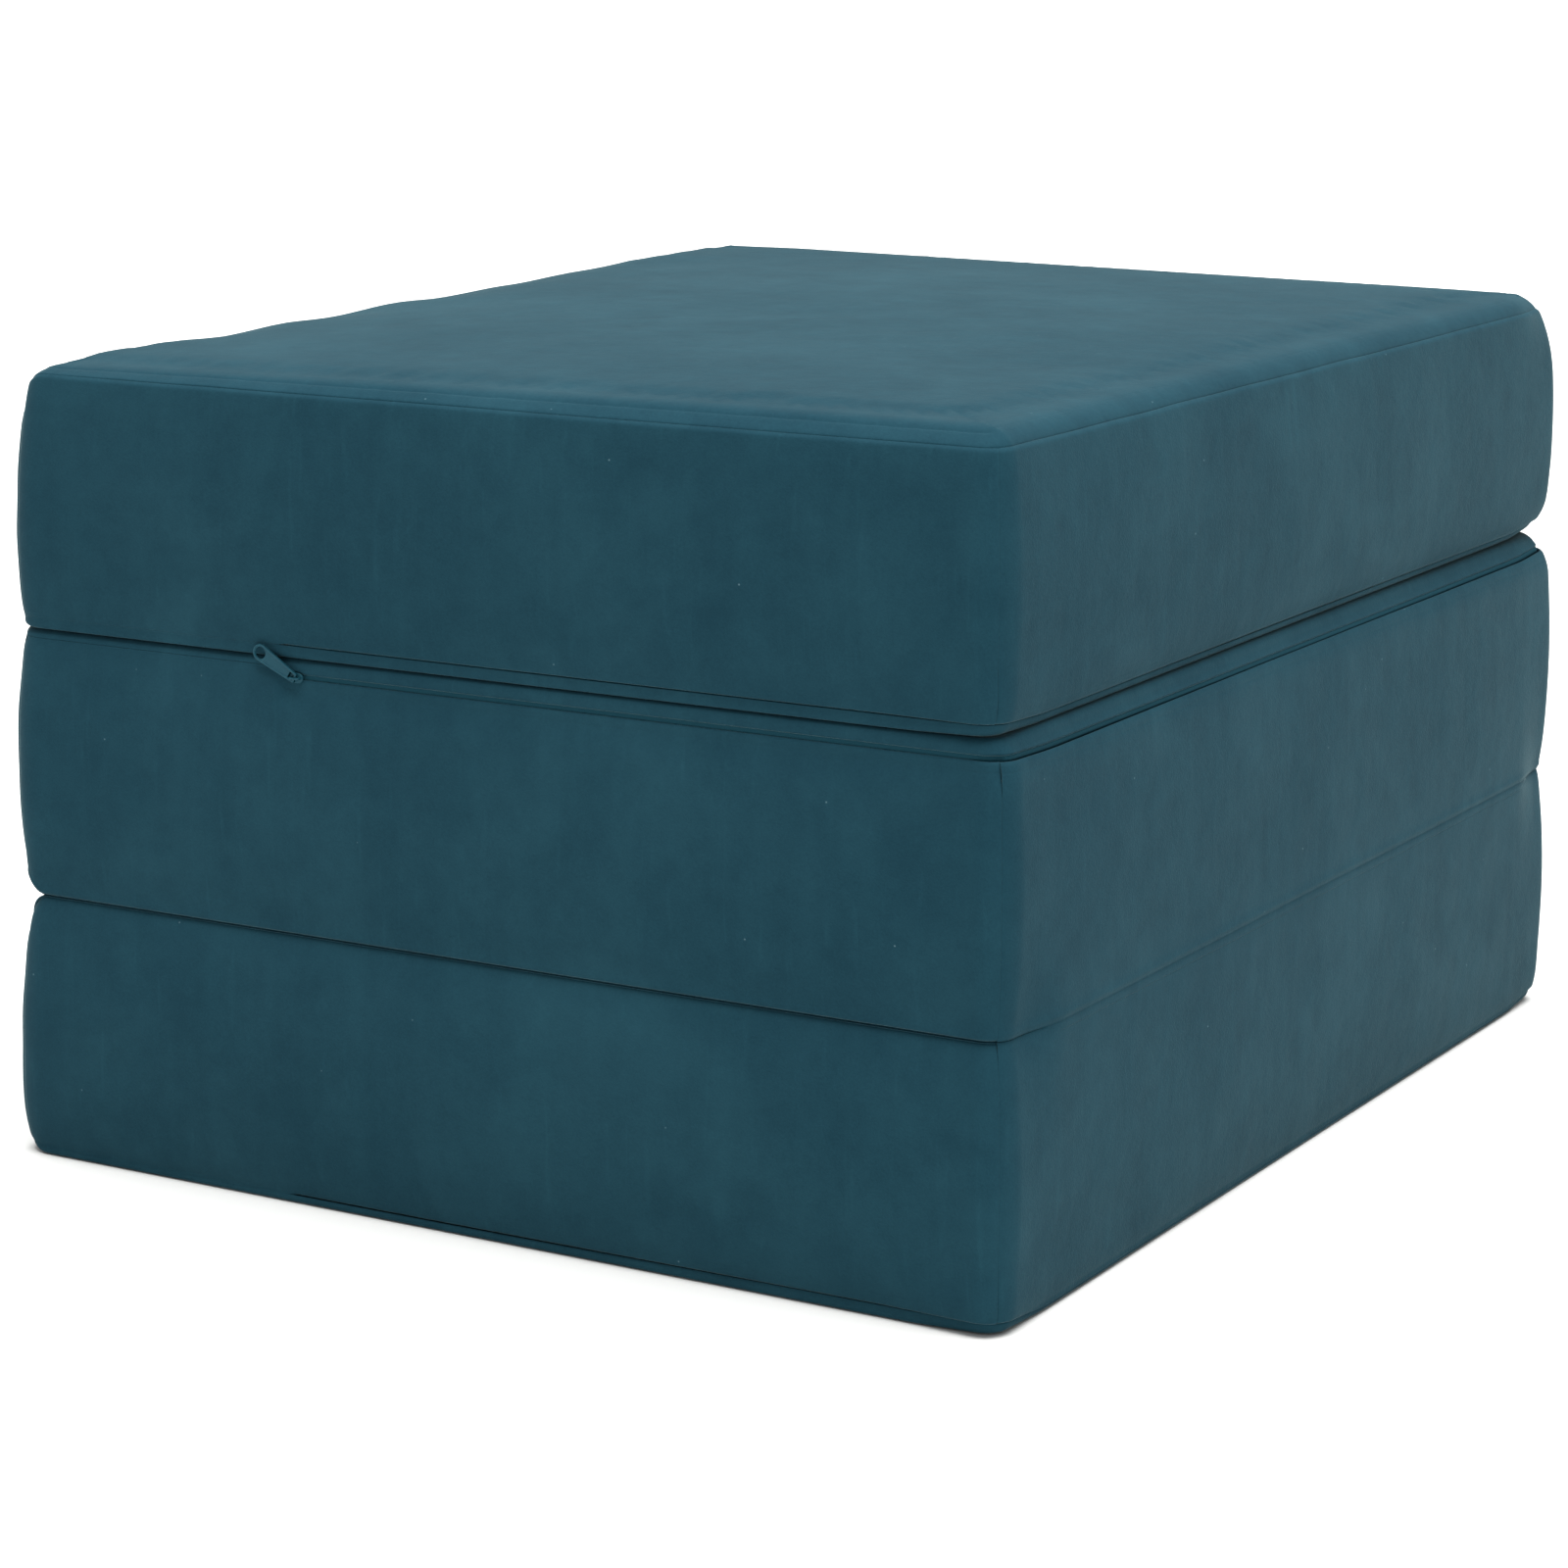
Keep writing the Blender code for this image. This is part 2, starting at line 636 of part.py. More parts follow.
def zip_slider(panel, collection, cutters):
    """Slider: nose-shaped plate over the slot, channel that straddles the chain, and bail.

    Its origin is on the chain's middle at the cloth's surface. X runs along the zip and Y
    points out of the cloth.
    """
    name = f"{panel.name}_zip_slider"
    half = SLIDER_LENGTH / 2
    shoulder = half - SLIDER_NOSE_LENGTH
    half_width = SLIDER_WIDTH / 2
    nose_width = CHAIN_WIDTH / 2 + FIT_GAP + FLANGE_THICKNESS
    outline = [(half, nose_width), (shoulder, half_width), (-shoulder, half_width),
               (-half, nose_width), (-half, -nose_width), (-shoulder, -half_width),
               (shoulder, -half_width), (half, -nose_width)]
    plate = new_object(name, outline_mesh(name, [outline], SLIDER_PLATE_THICKNESS), collection)
    plate_middle = SLIDER_LIP_CLEARANCE + SLIDER_PLATE_THICKNESS / 2
    plate.data.transform(Matrix.Translation((0, plate_middle, 0)))

    roof = CHAIN_THICKNESS / 2 - CHAIN_DEPTH + FIT_GAP
    inner = CHAIN_WIDTH / 2 + FIT_GAP
    bm = bmesh.new()
    box(bm, (-shoulder, -FLANGE_DEPTH, -inner - FLANGE_THICKNESS),
        (shoulder, plate_middle, inner + FLANGE_THICKNESS))
    channel = new_object(f"{name}_channel", mesh_from(bm, "channel"), cutters)
    bm = bmesh.new()
    box(bm, (-half, -2 * FLANGE_DEPTH, -inner), (half, roof, inner))
    groove = new_object(f"{name}_groove", mesh_from(bm, "groove"), cutters)
    cut = channel.modifiers.new("groove", "BOOLEAN")
    cut.operation = "DIFFERENCE"
    cut.object = groove

    top = SLIDER_LIP_CLEARANCE + SLIDER_PLATE_THICKNESS
    bail_top = top + BAIL_WINDOW_HEIGHT + BAIL_TOP_THICKNESS
    bail_half = BAIL_LENGTH / 2
    window_half = bail_half - BAIL_LEG
    chamfer = BAIL_TOP_THICKNESS / 2
    arch = [(-bail_half, plate_middle), (-window_half, plate_middle),
            (-window_half, top + BAIL_WINDOW_HEIGHT), (window_half, top + BAIL_WINDOW_HEIGHT),
            (window_half, plate_middle), (bail_half, plate_middle),
            (bail_half, bail_top - chamfer), (bail_half - chamfer, bail_top),
            (chamfer - bail_half, bail_top), (-bail_half, bail_top - chamfer)]
    bail_mesh = outline_mesh(f"{name}_bail", [arch], BAIL_WIDTH)
    bail_mesh.transform(Matrix.Rotation(-QUARTER, 4, "X"))
    bail = new_object(f"{name}_bail", bail_mesh, cutters)
    for tool in (channel, groove, bail):
        as_cutter(tool, plate)
    join_solid(plate, channel)
    join_solid(plate, bail)
    return plate


def zip_pull(panel, collection, cutters):
    """Pull tab: tapered tongue with a round eye, a raised rim and a slot for the bail.

    Its origin is the middle of its end bar, on the swing axis, which is its own Z.
    """
    name = f"{panel.name}_zip_pull"
    end = PULL_BAR / 2
    eye = (end - PULL_LENGTH + PULL_END_RADIUS, 0)
    half_neck = PULL_NECK_WIDTH / 2
    outline = [(end, -half_neck), (end, half_neck)]
    outline += arc(eye, PULL_END_RADIUS, QUARTER, 3 * QUARTER, PULL_ARC_STEPS)
    half_slot = PULL_SLOT_WIDTH / 2
    slot = [(-end, -half_slot), (-end, half_slot),
            (-end - PULL_SLOT_LENGTH, half_slot), (-end - PULL_SLOT_LENGTH, -half_slot)]
    hole = arc(eye, PULL_HOLE_RADIUS, 0, 4 * QUARTER, PULL_ARC_STEPS)[:-1]
    mesh = outline_mesh(name, [outline, slot, hole], PULL_THICKNESS)
    pull = new_object(name, mesh, collection)
    rim_outlines = [
        arc(eye, radius, 0, 4 * QUARTER, PULL_ARC_STEPS)[:-1]
        for radius in (PULL_HOLE_RADIUS + PULL_RIM_WIDTH, PULL_HOLE_RADIUS - PULL_RIM_OVERLAP)
    ]
    rim = new_object(f"{name}_rim", outline_mesh(f"{name}_rim", rim_outlines,
                                                 PULL_RIM_THICKNESS), cutters)
    as_cutter(rim, pull)
    join_solid(pull, rim)
    return pull


def hinge_cloth(name, side, valley, seam_edge, collection):
    """Strip of cloth across the valley between two cushions, about its hinge's level.

    valley is how far the edges round off from the meeting plane, and seam_edge is where the
    sides start to bulge. The strip lies just outside both cushions and dips between them.
    """
    first = CORNER_CELLS
    heights = [-HINGE_CLOTH_REACH, -valley, -valley / 2, 0, valley / 2, valley,
               HINGE_CLOTH_REACH]
    rise_span = THICKNESS - BAND_BOTTOM - PRESSED_SEAM_DROP - SEAM_LIP

    def place(u, v):
        point, normal, run, _ = station(side, first + u)
        height = heights[v]
        past_edge = max(abs(height) - seam_edge, 0.0) / rise_span
        first_rise = RISE_SHARES[1]
        bulge = swell(run, first_rise) * past_edge / first_rise
        dip = HINGE_CLOTH_DIP * max(1 - (height / valley) ** 2, 0.0)
        out = FIT_GAP + HINGE_CLOTH_THICKNESS + bulge - dip
        point = point + normal * out
        return Vector((point.x, point.y, height))

    run_cells = side_cells(side) - 2 * CORNER_CELLS
    bm = bmesh.new()
    bmesh.ops.create_grid(bm, x_segments=run_cells, y_segments=len(heights) - 1, size=1)
    for vert in bm.verts:
        u = round((vert.co.x + 1) / 2 * run_cells)
        v = round((vert.co.y + 1) / 2 * (len(heights) - 1))
        vert.co = place(u, v)
    bm.normal_update()
    if sum(f.normal.x * f.calc_center_median().x for f in bm.faces) < 0:
        bmesh.ops.reverse_faces(bm, faces=bm.faces)
    return cloth_object(name, bm, HINGE_CLOTH_THICKNESS, collection)


def panel_matrix(panel):
    """Place of a cushion: its base down, or turned over about X for the middle one."""
    base = panel.level * PANEL_PITCH
    if panel.flipped:
        return Matrix.Translation((0, 0, base + THICKNESS)) @ Matrix.Rotation(math.pi, 4, "X")
    return Matrix.Translation((0, 0, base))


def new_empty(name, place, collection, parent=None):
    empty = bpy.data.objects.new(name, None)
    empty.empty_display_size = PANEL_PITCH / 2
    collection.objects.link(empty)
    if parent:
        attach(empty, parent, Matrix.Translation(place))
    else:
        empty.location = place
    return empty


def attach(obj, parent, world):
    """Parent an object and keep the place that the world matrix gives it."""
    bpy.context.view_layer.update()
    obj.parent = parent
    obj.matrix_local = parent.matrix_world.inverted() @ world


def build():
    for obj in list(bpy.data.objects):
        bpy.data.objects.remove(obj)
    parts = new_collection("folding_sofa_bed")
    cutters = new_collection("cutters")

    hinge_levels = [PANEL_PITCH - FACE_GAP / 2, 2 * PANEL_PITCH - FACE_GAP / 2]
    root = new_empty("bottom_frame", (0, 0, 0), parts)
    middle_axis = new_empty("middle_fold_axis", (HINGE_OFFSET, 0, hinge_levels[0]), parts, root)
    top_axis = new_empty("top_fold_axis", (-HINGE_OFFSET, 0, hinge_levels[1]), parts, middle_axis)
    carriers = {"bottom": root, "middle": middle_axis, "top": top_axis}

    for panel in PANELS:
        world = panel_matrix(panel)
        carrier = carriers[panel.name]
        cloth = [
            (sleeping_cover(panel, parts), VELVET),
            (base_cover(panel, parts), VELVET_BASE),
        ]
        cloth += [(side_band(panel, side, parts), VELVET) for side in ("front", "right", "back")]
        cloth += [(tape, TAPE) for tape in zip_tapes(panel, parts)]
        cloth += [(zip_chain(panel, parts), CHAIN),
                  (zip_stop(panel, "zip_closed_stop", 1, parts), CHAIN),
                  (zip_stop(panel, "zip_open_stop", -1, parts), CHAIN)]
        for obj, colour in cloth:
            obj.data.materials.append(new_material(obj.name, colour, CLOTH_ROUGHNESS))
            attach(obj, carrier, world)
        foam = foam_core(panel, parts)
        foam.data.materials.append(new_material(foam.name, FOAM, FOAM_ROUGHNESS))
        attach(foam, carrier, world)

        slider = zip_slider(panel, parts, cutters)
        slider.data.materials.append(coated_metal(slider.name))
        slider_place = Matrix.Translation((SLIDER_REST, HALF_WIDTH, ZIP_LEVEL))
        attach(slider, carrier, world @ slider_place)
        pull = zip_pull(panel, parts, cutters)
        pull.data.materials.append(coated_metal(pull.name))
        lean = Matrix.Rotation(-panel.pull_lean, 4, "Y")
        pivot = Matrix.Translation((0, PIVOT_HEIGHT, 0))
        attach(pull, slider, world @ slider_place @ pivot @ lean)

    right_hinge = hinge_cloth("right_hinge_cloth", "right", PRESSED_SEAM_DROP,
                              PRESSED_SEAM_DROP + SEAM_LIP, parts)
    left_hinge = hinge_cloth("left_hinge_cloth", "left", BASE_HINGE_RADIUS, BASE_WRAP, parts)
    for obj, carrier, level in ((right_hinge, root, hinge_levels[0]),
                                (left_hinge, middle_axis, hinge_levels[1])):
        obj.data.materials.append(new_material(obj.name, VELVET_BASE, CLOTH_ROUGHNESS))
        attach(obj, carrier, Matrix.Translation((0, 0, level)))
    bpy.context.view_layer.update()


build()
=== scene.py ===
"""Folding sofa bed in teal velvet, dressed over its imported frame.

Three foam cushions in zipped velvet covers lie folded on each other like the letter Z.
Cloth strips join them, at the right between the lower two and at the left between the
upper two. Every cushion is shaped in its own frame: base down at zero, sleeping face up,
X to the right, Y to the back. The middle one is then turned over.
"""
import math
from dataclasses import dataclass

import bpy
import numpy as np
from bpy.props import FloatProperty, FloatVectorProperty, PointerProperty, StringProperty
from mathutils import Matrix, Vector, noise


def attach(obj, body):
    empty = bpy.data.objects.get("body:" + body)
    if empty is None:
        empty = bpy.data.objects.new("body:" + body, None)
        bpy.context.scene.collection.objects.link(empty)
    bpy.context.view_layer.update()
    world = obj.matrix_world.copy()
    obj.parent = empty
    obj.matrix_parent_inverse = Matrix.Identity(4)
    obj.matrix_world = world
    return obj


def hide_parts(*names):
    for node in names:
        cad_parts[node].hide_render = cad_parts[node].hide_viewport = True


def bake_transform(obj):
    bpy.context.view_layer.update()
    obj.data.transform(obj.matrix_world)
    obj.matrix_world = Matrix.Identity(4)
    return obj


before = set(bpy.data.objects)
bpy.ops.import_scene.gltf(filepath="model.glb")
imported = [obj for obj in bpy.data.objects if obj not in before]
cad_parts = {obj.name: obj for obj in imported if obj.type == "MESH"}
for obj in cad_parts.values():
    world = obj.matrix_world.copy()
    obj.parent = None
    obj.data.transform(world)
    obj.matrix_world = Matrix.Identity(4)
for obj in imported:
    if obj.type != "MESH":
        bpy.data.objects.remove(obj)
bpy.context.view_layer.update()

bl_info = {
    "name": "Folding Sofa Bed",
    "version": (1, 0, 0),
    "blender": (4, 5, 0),
    "location": "View3D > Sidebar > Sofa Bed",
    "description": "Builds a tri-fold foam sofa bed with zipped velvet covers",
    "category": "Object",
}

QUARTER = math.pi / 2


def mm(value):
    """Millimetres as metres."""
    return value / 1000


def length(name, description, millimetres):
    return FloatProperty(name=name, description=description, default=mm(millimetres),
                         min=0, unit="LENGTH", precision=4)


def share(name, description, default):
    return FloatProperty(name=name, description=description, default=default,
                         min=0, max=1, subtype="FACTOR")


def colour(name, description, default):
    return StringProperty(name=name, description=description, default=default)


# Settings


class SOFABED_PG_cushion(bpy.types.PropertyGroup):
    """Sizes of one cushion and of how its cover lies."""

    length: length("Length", "Cushion's size from hinge side to hinge side", 640)
    width: length("Width", "Cushion's size across the bed", 776)
    pitch: length("Pitch", "Height of one cushion in the stack", 157)
    gap: length("Gap", "Space between two cushions", 0.3)
    corner_radius: length("Corner radius", "Rounding of the upright corners", 14)
    left_roll: length("Left roll", "Rounding where the sleeping face rolls over", 19)
    base_radius: length("Base edge", "Rounding of the base's edge", 6.5)
    zip_radius: length("Zip edge", "Rounding of the base's edge beside a zip", 2.2)
    hinge_radius: length("Hinge edge", "Rounding of the base's edge at the left hinge", 4)
    floor_roll: length("Floor roll", "Rounding of the lowest cushion's left edge", 14)
    side_bulge: length("Side bulge", "How far foam pushes a side out", 7)
    crown: length("Crown", "Rise of the uppermost sleeping face", 7)
    top_drop: length("Top seam", "Drop from the upper face to its seam", 9.5)
    pressed_drop: length("Pressed seam", "Drop from a pressed face to its seam", 0.45)
    cloth: length("Cloth", "Thickness of the velvet with its backing", 1.2)
    slack: length("Slack", "Depth of the loose waves on the left sides", 1.6)


class SOFABED_PG_zip(bpy.types.PropertyGroup):
    """Sizes of the zips and of the sewing."""

    start: length("Start", "Where a zip starts, from the cushion's left side", 195)
    taper: length("Taper", "How long the slot takes to open at its ends", 8)
    slot: length("Slot", "Height of the open slot over a zip", 2.6)
    level: length("Level", "Height of a chain's middle", 10.1)
    depth: length("Chain depth", "How deep the chain's middle lies", 3.1)
    tooth_pitch: length("Tooth pitch", "Spacing of the coil's turns", 1.9)
    stitch_pitch: length("Stitch pitch", "Spacing of the topstitches", 3.2)
    stitch_inset: length("Stitch inset", "Topstitch's distance from the lip", 5.5)
    pull_length: length("Pull length", "Length of the pull tab", 31.5)


class SOFABED_PG_finish(bpy.types.PropertyGroup):
    """Colours of the finishes, as sRGB hex, and how the velvet shines."""

    pile: colour("Pile", "Velvet with its pile lying away from the eye", "#143541")
    pile_brushed: colour("Brushed pile", "Velvet with its pile brushed up", "#1D424E")
    foam: colour("Foam", "Open-cell foam", "#E9E2C8")
    tape: colour("Tape", "Woven polyester tape", "#153844")
    coil: colour("Coil", "Nylon coil", "#0B2F3B")
    coating: colour("Coating", "Baked enamel on the zip's metal", "#15424F")
    thread: colour("Thread", "Polyester sewing thread", "#183843")
    sheen: share("Sheen", "How much light the standing fibre tips catch", 0.205)


class SOFABED_PG_studio(bpy.types.PropertyGroup):
    """Camera and light."""

    camera: FloatVectorProperty(name="Camera", description="Where the camera stands",
                                default=(1.2767, -2.2383, 0.7523), subtype="XYZ",
                                unit="LENGTH")
    azimuth: FloatProperty(name="Azimuth", description="Turn of the camera to the left",
                           default=math.radians(30.362), subtype="ANGLE")
    pitch: FloatProperty(name="Pitch", description="How far the camera looks down",
                         default=math.radians(10.563), subtype="ANGLE")
    lens: FloatProperty(name="Lens", description="Focal length in millimetres",
                        default=97.6, min=10)
    shift: FloatProperty(name="Shift", description="Lens shift down, as a share of the width",
                         default=0.09, min=0, max=0.1)
    floor: colour("Floor", "Pale matt floor", "#E0E0DE")
    sky: FloatProperty(name="Sky", description="Strength of the light all round",
                       default=0.55, min=0)
    key: FloatProperty(name="Key light", description="Strength of the main soft light",
                       default=5.85, min=0)


# Cushion form


@dataclass
class Cushion:
    """One cushion: its place in the stack and how its cover is closed."""

    name: str
    level: int
    flipped: bool
    pressed: bool
    on_floor: bool
    open_sides: tuple
    pull_lean: float
    seed: float

    @property
    def body(self):
        return f"{self.name}_panel"


# A zip's slot gapes where its slider runs. Elsewhere the band's lip hides the chain, but
# on the middle cushion the whole slot gapes.
CUSHIONS = (
    Cushion("bottom", 0, False, True, True, ("back",), math.radians(6), 11.3),
    Cushion("middle", 1, True, True, False, ("front", "right", "back"), math.radians(28),
            37.9),
    Cushion("top", 2, False, False, False, ("back",), math.radians(25), 71.7),
)

# Sections across an edge of the sleeping face, as millimetres inward from the side and up
# from the seam. The first points are the seam allowance, curled under.
PRESSED_EDGE = ((1.6, -0.5), (1.2, -0.3), (0.9, -0.1), (0.8, 0.05), (1.0, 0.2), (1.6, 0.3),
                (2.6, 0.36), (4.5, 0.4), (7.0, 0.43), (10.0, 0.44), (14.0, 0.45))
# Front and back of the uppermost face: a strip on the slant between two seams
STRIP_EDGE = ((1.6, -0.7), (1.35, -0.45), (1.2, -0.1), (1.25, 0.35), (1.5, 0.8),
              (2.0, 1.35), (2.9, 2.15), (4.3, 3.2), (6.2, 4.6), (7.8, 5.6), (8.8, 6.0),
              (9.4, 5.95), (9.8, 6.4), (10.6, 7.3), (12.6, 8.4), (15.4, 9.1),
              (18.4, 9.55), (21.0, 9.75))
# Right edge of the uppermost face: it comes out from behind the band and turns flat in a
# crease
SOFT_EDGE = ((1.9, -0.6), (1.6, -0.3), (1.45, 0.0), (1.5, 0.5), (1.8, 1.3), (2.4, 2.3),
             (3.3, 3.6), (4.5, 4.9), (6.0, 6.1), (7.6, 7.1), (8.9, 7.8), (9.9, 8.15),
             (10.5, 8.3), (11.4, 8.7), (13.4, 9.15), (16.0, 9.45), (18.8, 9.65),
             (21.0, 9.75))
# Grids of the covers: rings round an edge and how far in they end, the smallest corner
# radius that a ring keeps, and the sizes of the cells, in millimetres
RINGS = 20
MARGIN = 25.0
TIGHTEST = 2.5
FACE_CELL = 7.0
COLUMN = 5.0
BASE_RINGS = 15
BASE_CELLS = (26, 32)
# Rows of a side, in millimetres up from its lip and down from its seam
LIP_ROWS = (0, 0.25, 0.6, 1.1, 1.8, 2.8, 4.2, 5.0, 5.5, 6.0, 7.2, 9.5, 13.0)
SEAM_ROWS = (0, 0.25, 0.55, 0.95, 1.45, 2.1, 3.0, 4.2, 6.0, 9.0)
LEFT_ROWS = (3, 7, 13)
SIDE_ROWS = 18
SEAM_FOLD = 0.15
# Heights of the base cloth's lip in millimetres: at the left, half way along the right, at
# the front where the zip starts and at the front's right end
LIP_HEIGHTS = {"bottom": (5.0, 3.4, 4.4, 7.0), "middle": (8.4, 9.8, 8.4, 8.4),
               "top": (5.0, 4.6, 7.0, 7.0)}
# The same at the back's left end, and where the slider runs
BACK_LIP = (5.0, 8.4)
CLOSED_GAPE = 1.3
CLOSED_SHARE = 0.5
# A bulging side: its fullest place, its shape and how much less it swells at its ends
FULLEST_SHARE = 0.93
BOW_POWER = 0.72
ENDS_SHARE = 0.1
# What the cloth simulation may do: its last frame and how far a point may move, in
# millimetres
CLOTH_FRAMES = 20
CLOTH_REACH = 1.8
# Zip metal along the zip, in millimetres: a stop, the gap beside it and half a slider
STOP_LENGTH = 2.0
STOP_GAP = 0.3
SLIDER_HALF = 4.5
# Slider's height out of the cloth, in millimetres: where its plate starts, how thick the
# plate is and how wide the bail's opening is
PLATE_FOOT = 0.5
PLATE_THICKNESS = 1.0
BAIL_OPENING = 2.1
# Hinge strips, in millimetres: how far the right one ends from the corners, how far both
# reach into the seams and how thick they are
STRIP_END = 26.0
STRIP_SEAM = 2.4
STRIP_CLOTH = 0.9
# How far the stack's weight has pushed the left side out, at the base and at the sleeping
# face, in millimetres. The uppermost cushion carries nothing and lies slack.
LEFT_SETTLE = {"bottom": (8.0, 1.3), "middle": (-1.0, 4.0), "top": (0.5, -9.5)}
# How far into the covers the left and the right side take them along, in millimetres
LEFT_REACH = 90.0
RIGHT_REACH = (80.0, 5.0)
# How far the uppermost cushion has crept to the left, and over what length
CREEP = (3.0, 150.0)
# How far the bases off the floor are drawn in on the right, in front and behind
BASE_DRAW = (2.5, 7.5)
# How far the far right corners are drawn in at the base and at the sleeping face, and how
# wide a corner is. The near ones stand out a tenth as far.
CORNER_DRAW = {"bottom": (1.0, 0.0), "middle": (2.5, 0.0), "top": (3.0, 8.0)}
CORNER_REACH = 36.0
# Soft hollows of foam and cloth, as depth and size: on the sides, and on the uppermost
# face, which also has waves at its left end
LUMPS = ((0.6, 120.0), (0.25, 35.0))
FACE_LUMPS = ((0.9, 170.0), (0.3, 60.0))
LEFT_WAVES = (2.4, 80.0)
# How far a band's lip stands out over the slot: least and most
LIP_STAND = {"front": (0.5, 2.6), "right": (0.6, 1.6), "back": (0.2, 2.0)}
# Foam's distance from the cloth at the sides, at the base and under a pressed or a free
# sleeping face, the rounding of its edges, and its cells along X, Y and Z
FOAM_SIDE_GAP = 3.6
FOAM_BASE_GAP = 0.6
FOAM_TOP_GAPS = (1.6, 3.2)
FOAM_EDGE = 18.0
FOAM_CELLS = (18, 22, 8)


def lerp(low, high, amount):
    return low + (high - low) * amount


def ease(value, low, high):
    """Smooth step from 0 at low to 1 at high."""
    t = min(max((value - low) / (high - low), 0.0), 1.0)
    return t * t * (3 - 2 * t)


def resample(profile, count):
    """Profile drawn with that many points, in metres."""
    steps = np.linspace(0, len(profile) - 1, count)
    table = np.array(profile)
    index = np.arange(len(profile))
    return [(mm(np.interp(s, index, table[:, 0])), mm(np.interp(s, index, table[:, 1])))
            for s in steps]


def round_off(height, radius):
    """How far a rounded lower edge lies in from the side at a height."""
    if height >= radius:
        return 0.0
    return radius - math.sqrt(max(radius ** 2 - (radius - height) ** 2, 0.0))


class Form:
    """The sofa's surfaces, worked out from the settings. Lengths are in metres."""

    def __init__(self, scene):
        self.c = scene.sofabed_cushion
        self.z = scene.sofabed_zip
        self.half_length = self.c.length / 2
        self.half_width = self.c.width / 2
        self.thickness = self.c.pitch - self.c.gap
        self.zip_level = self.z.level
        self.zip_start = self.z.start - self.half_length
        self.edges = {
            "pressed": resample(PRESSED_EDGE, RINGS),
            "strip": resample(STRIP_EDGE, RINGS),
            "soft": resample(SOFT_EDGE, RINGS),
        }

    # Places in the stack

    def matrix(self, cushion):
        base = cushion.level * self.c.pitch
        if cushion.flipped:
            turned = Matrix.Rotation(math.pi, 4, "X")
            return Matrix.Translation((0, 0, base + self.thickness)) @ turned
        return Matrix.Translation((0, 0, base))

    # Outline in plan

    def radii(self, side_x):
        return (self.c.left_roll if side_x < 0 else self.c.corner_radius,
                self.c.corner_radius)

    def corner(self, side_x, side_y, turn, inset=(0.0, 0.0)):
        """Point and normal on a corner. turn is 0 on the X side and a quarter on the Y side."""
        radius_x, radius_y = self.radii(side_x)
        radius_x = max(radius_x - inset[0], mm(TIGHTEST))
        radius_y = max(radius_y - inset[1], mm(TIGHTEST))
        x = self.half_length - inset[0] - radius_x * (1 - math.cos(turn))
        y = self.half_width - inset[1] - radius_y * (1 - math.sin(turn))
        normal = Vector((side_x * math.cos(turn) / radius_x,
                         side_y * math.sin(turn) / radius_y, 0)).normalized()
        return Vector((side_x * x, side_y * y, 0)), normal

    def side_parts(self, side):
        """Lengths of a side's first half corner, its run and its last half corner."""
        half = [math.pi / 4 * sum(self.radii(s)) / 2 for s in (-1, 1)]
        if side in ("front", "back"):
            run = self.c.length - self.c.left_roll - self.c.corner_radius
            return half[0], run, half[1]
        run = self.c.width - 2 * self.c.corner_radius
        ends = half[0] if side == "left" else half[1]
        return ends, run, ends

    def outline(self, side, s):
        """Point, normal, share of the left side and distance to the corner seam, at a
        distance s along a side from its first corner seam."""
        first, run, last = self.side_parts(side)
        total = first + run + last
        along_x = side in ("front", "back")
        across = 1 if side in ("back", "right") else -1
        if first <= s <= total - last:
            reach = (s - first) / run
            if along_x:
                x = lerp(self.c.left_roll - self.half_length,
                         self.half_length - self.c.corner_radius, reach)
                return (Vector((x, across * self.half_width, 0)), Vector((0, across, 0)),
                        0.0, min(s, total - s))
            y = (2 * reach - 1) * (self.half_width - self.c.corner_radius)
            left = 1.0 if side == "left" else 0.0
            return (Vector((across * self.half_length, y, 0)), Vector((across, 0, 0)),
                    left, min(s, total - s))
        end = -1 if s < first else 1
        into = (s / first) if end < 0 else (total - s) / last
        into = min(max(into, 0.0), 1.0)
        if along_x:
            side_x, side_y = end, across
            turn = QUARTER / 2 * (1 + into)
        else:
            side_x, side_y = across, end
            turn = QUARTER / 2 * (1 - into)
        point, normal = self.corner(side_x, side_y, turn)
        left = math.cos(turn) ** 2 if side_x < 0 else 0.0
        return point, normal, left, min(s, total - s)

    def s_of_x(self, side, x):
        first, _, _ = self.side_parts(side)
        return first + x - (self.c.left_roll - self.half_length)

    # Heights

    def seam_height(self, cushion, left):
        drop = self.c.pressed_drop if cushion.pressed else self.c.top_drop
        return self.thickness - lerp(drop, self.c.left_roll, left)

    def seam_wave(self, cushion, point):
        """A sewn seam pulls the cloth a little up and down."""
        place = Vector((point.x, point.y, cushion.seed))
        return mm(0.45) * noise.noise(place / mm(55)) * (0.0 if cushion.pressed else 1.0)

    def lips(self, cushion, side, point):
        """Heights of the base cloth's lip and of the band's lip over it, and how far the
        slot between them is open, from 0 to 1."""
        opening = {"left": 0.0, "right": 1.0}.get(
            side, ease(point.x, self.zip_start - self.z.taper, self.zip_start))
        near_end = ease(abs(point.y), self.half_width - mm(60), self.half_width)
        closed = side not in cushion.open_sides
        if closed:
            opening *= CLOSED_SHARE
        left, right, front_start, front_end = (mm(h) for h in LIP_HEIGHTS[cushion.name])
        back_start, back_end = (mm(h) for h in BACK_LIP)
        if side == "left":
            lip = left
        elif side == "right":
            lip = lerp(right, back_end if point.y > 0 else front_end, near_end)
            if cushion.on_floor:
                opening *= max(near_end, 0.12)
        elif side == "front":
            lip = lerp(front_start, front_end,
                       ease(point.x, self.zip_start, self.half_length))
        else:
            lip = lerp(back_start, back_end, opening)
        gape = mm(CLOSED_GAPE) if closed else self.z.slot
        return lip, lip + lerp(mm(0.05), gape, opening), opening

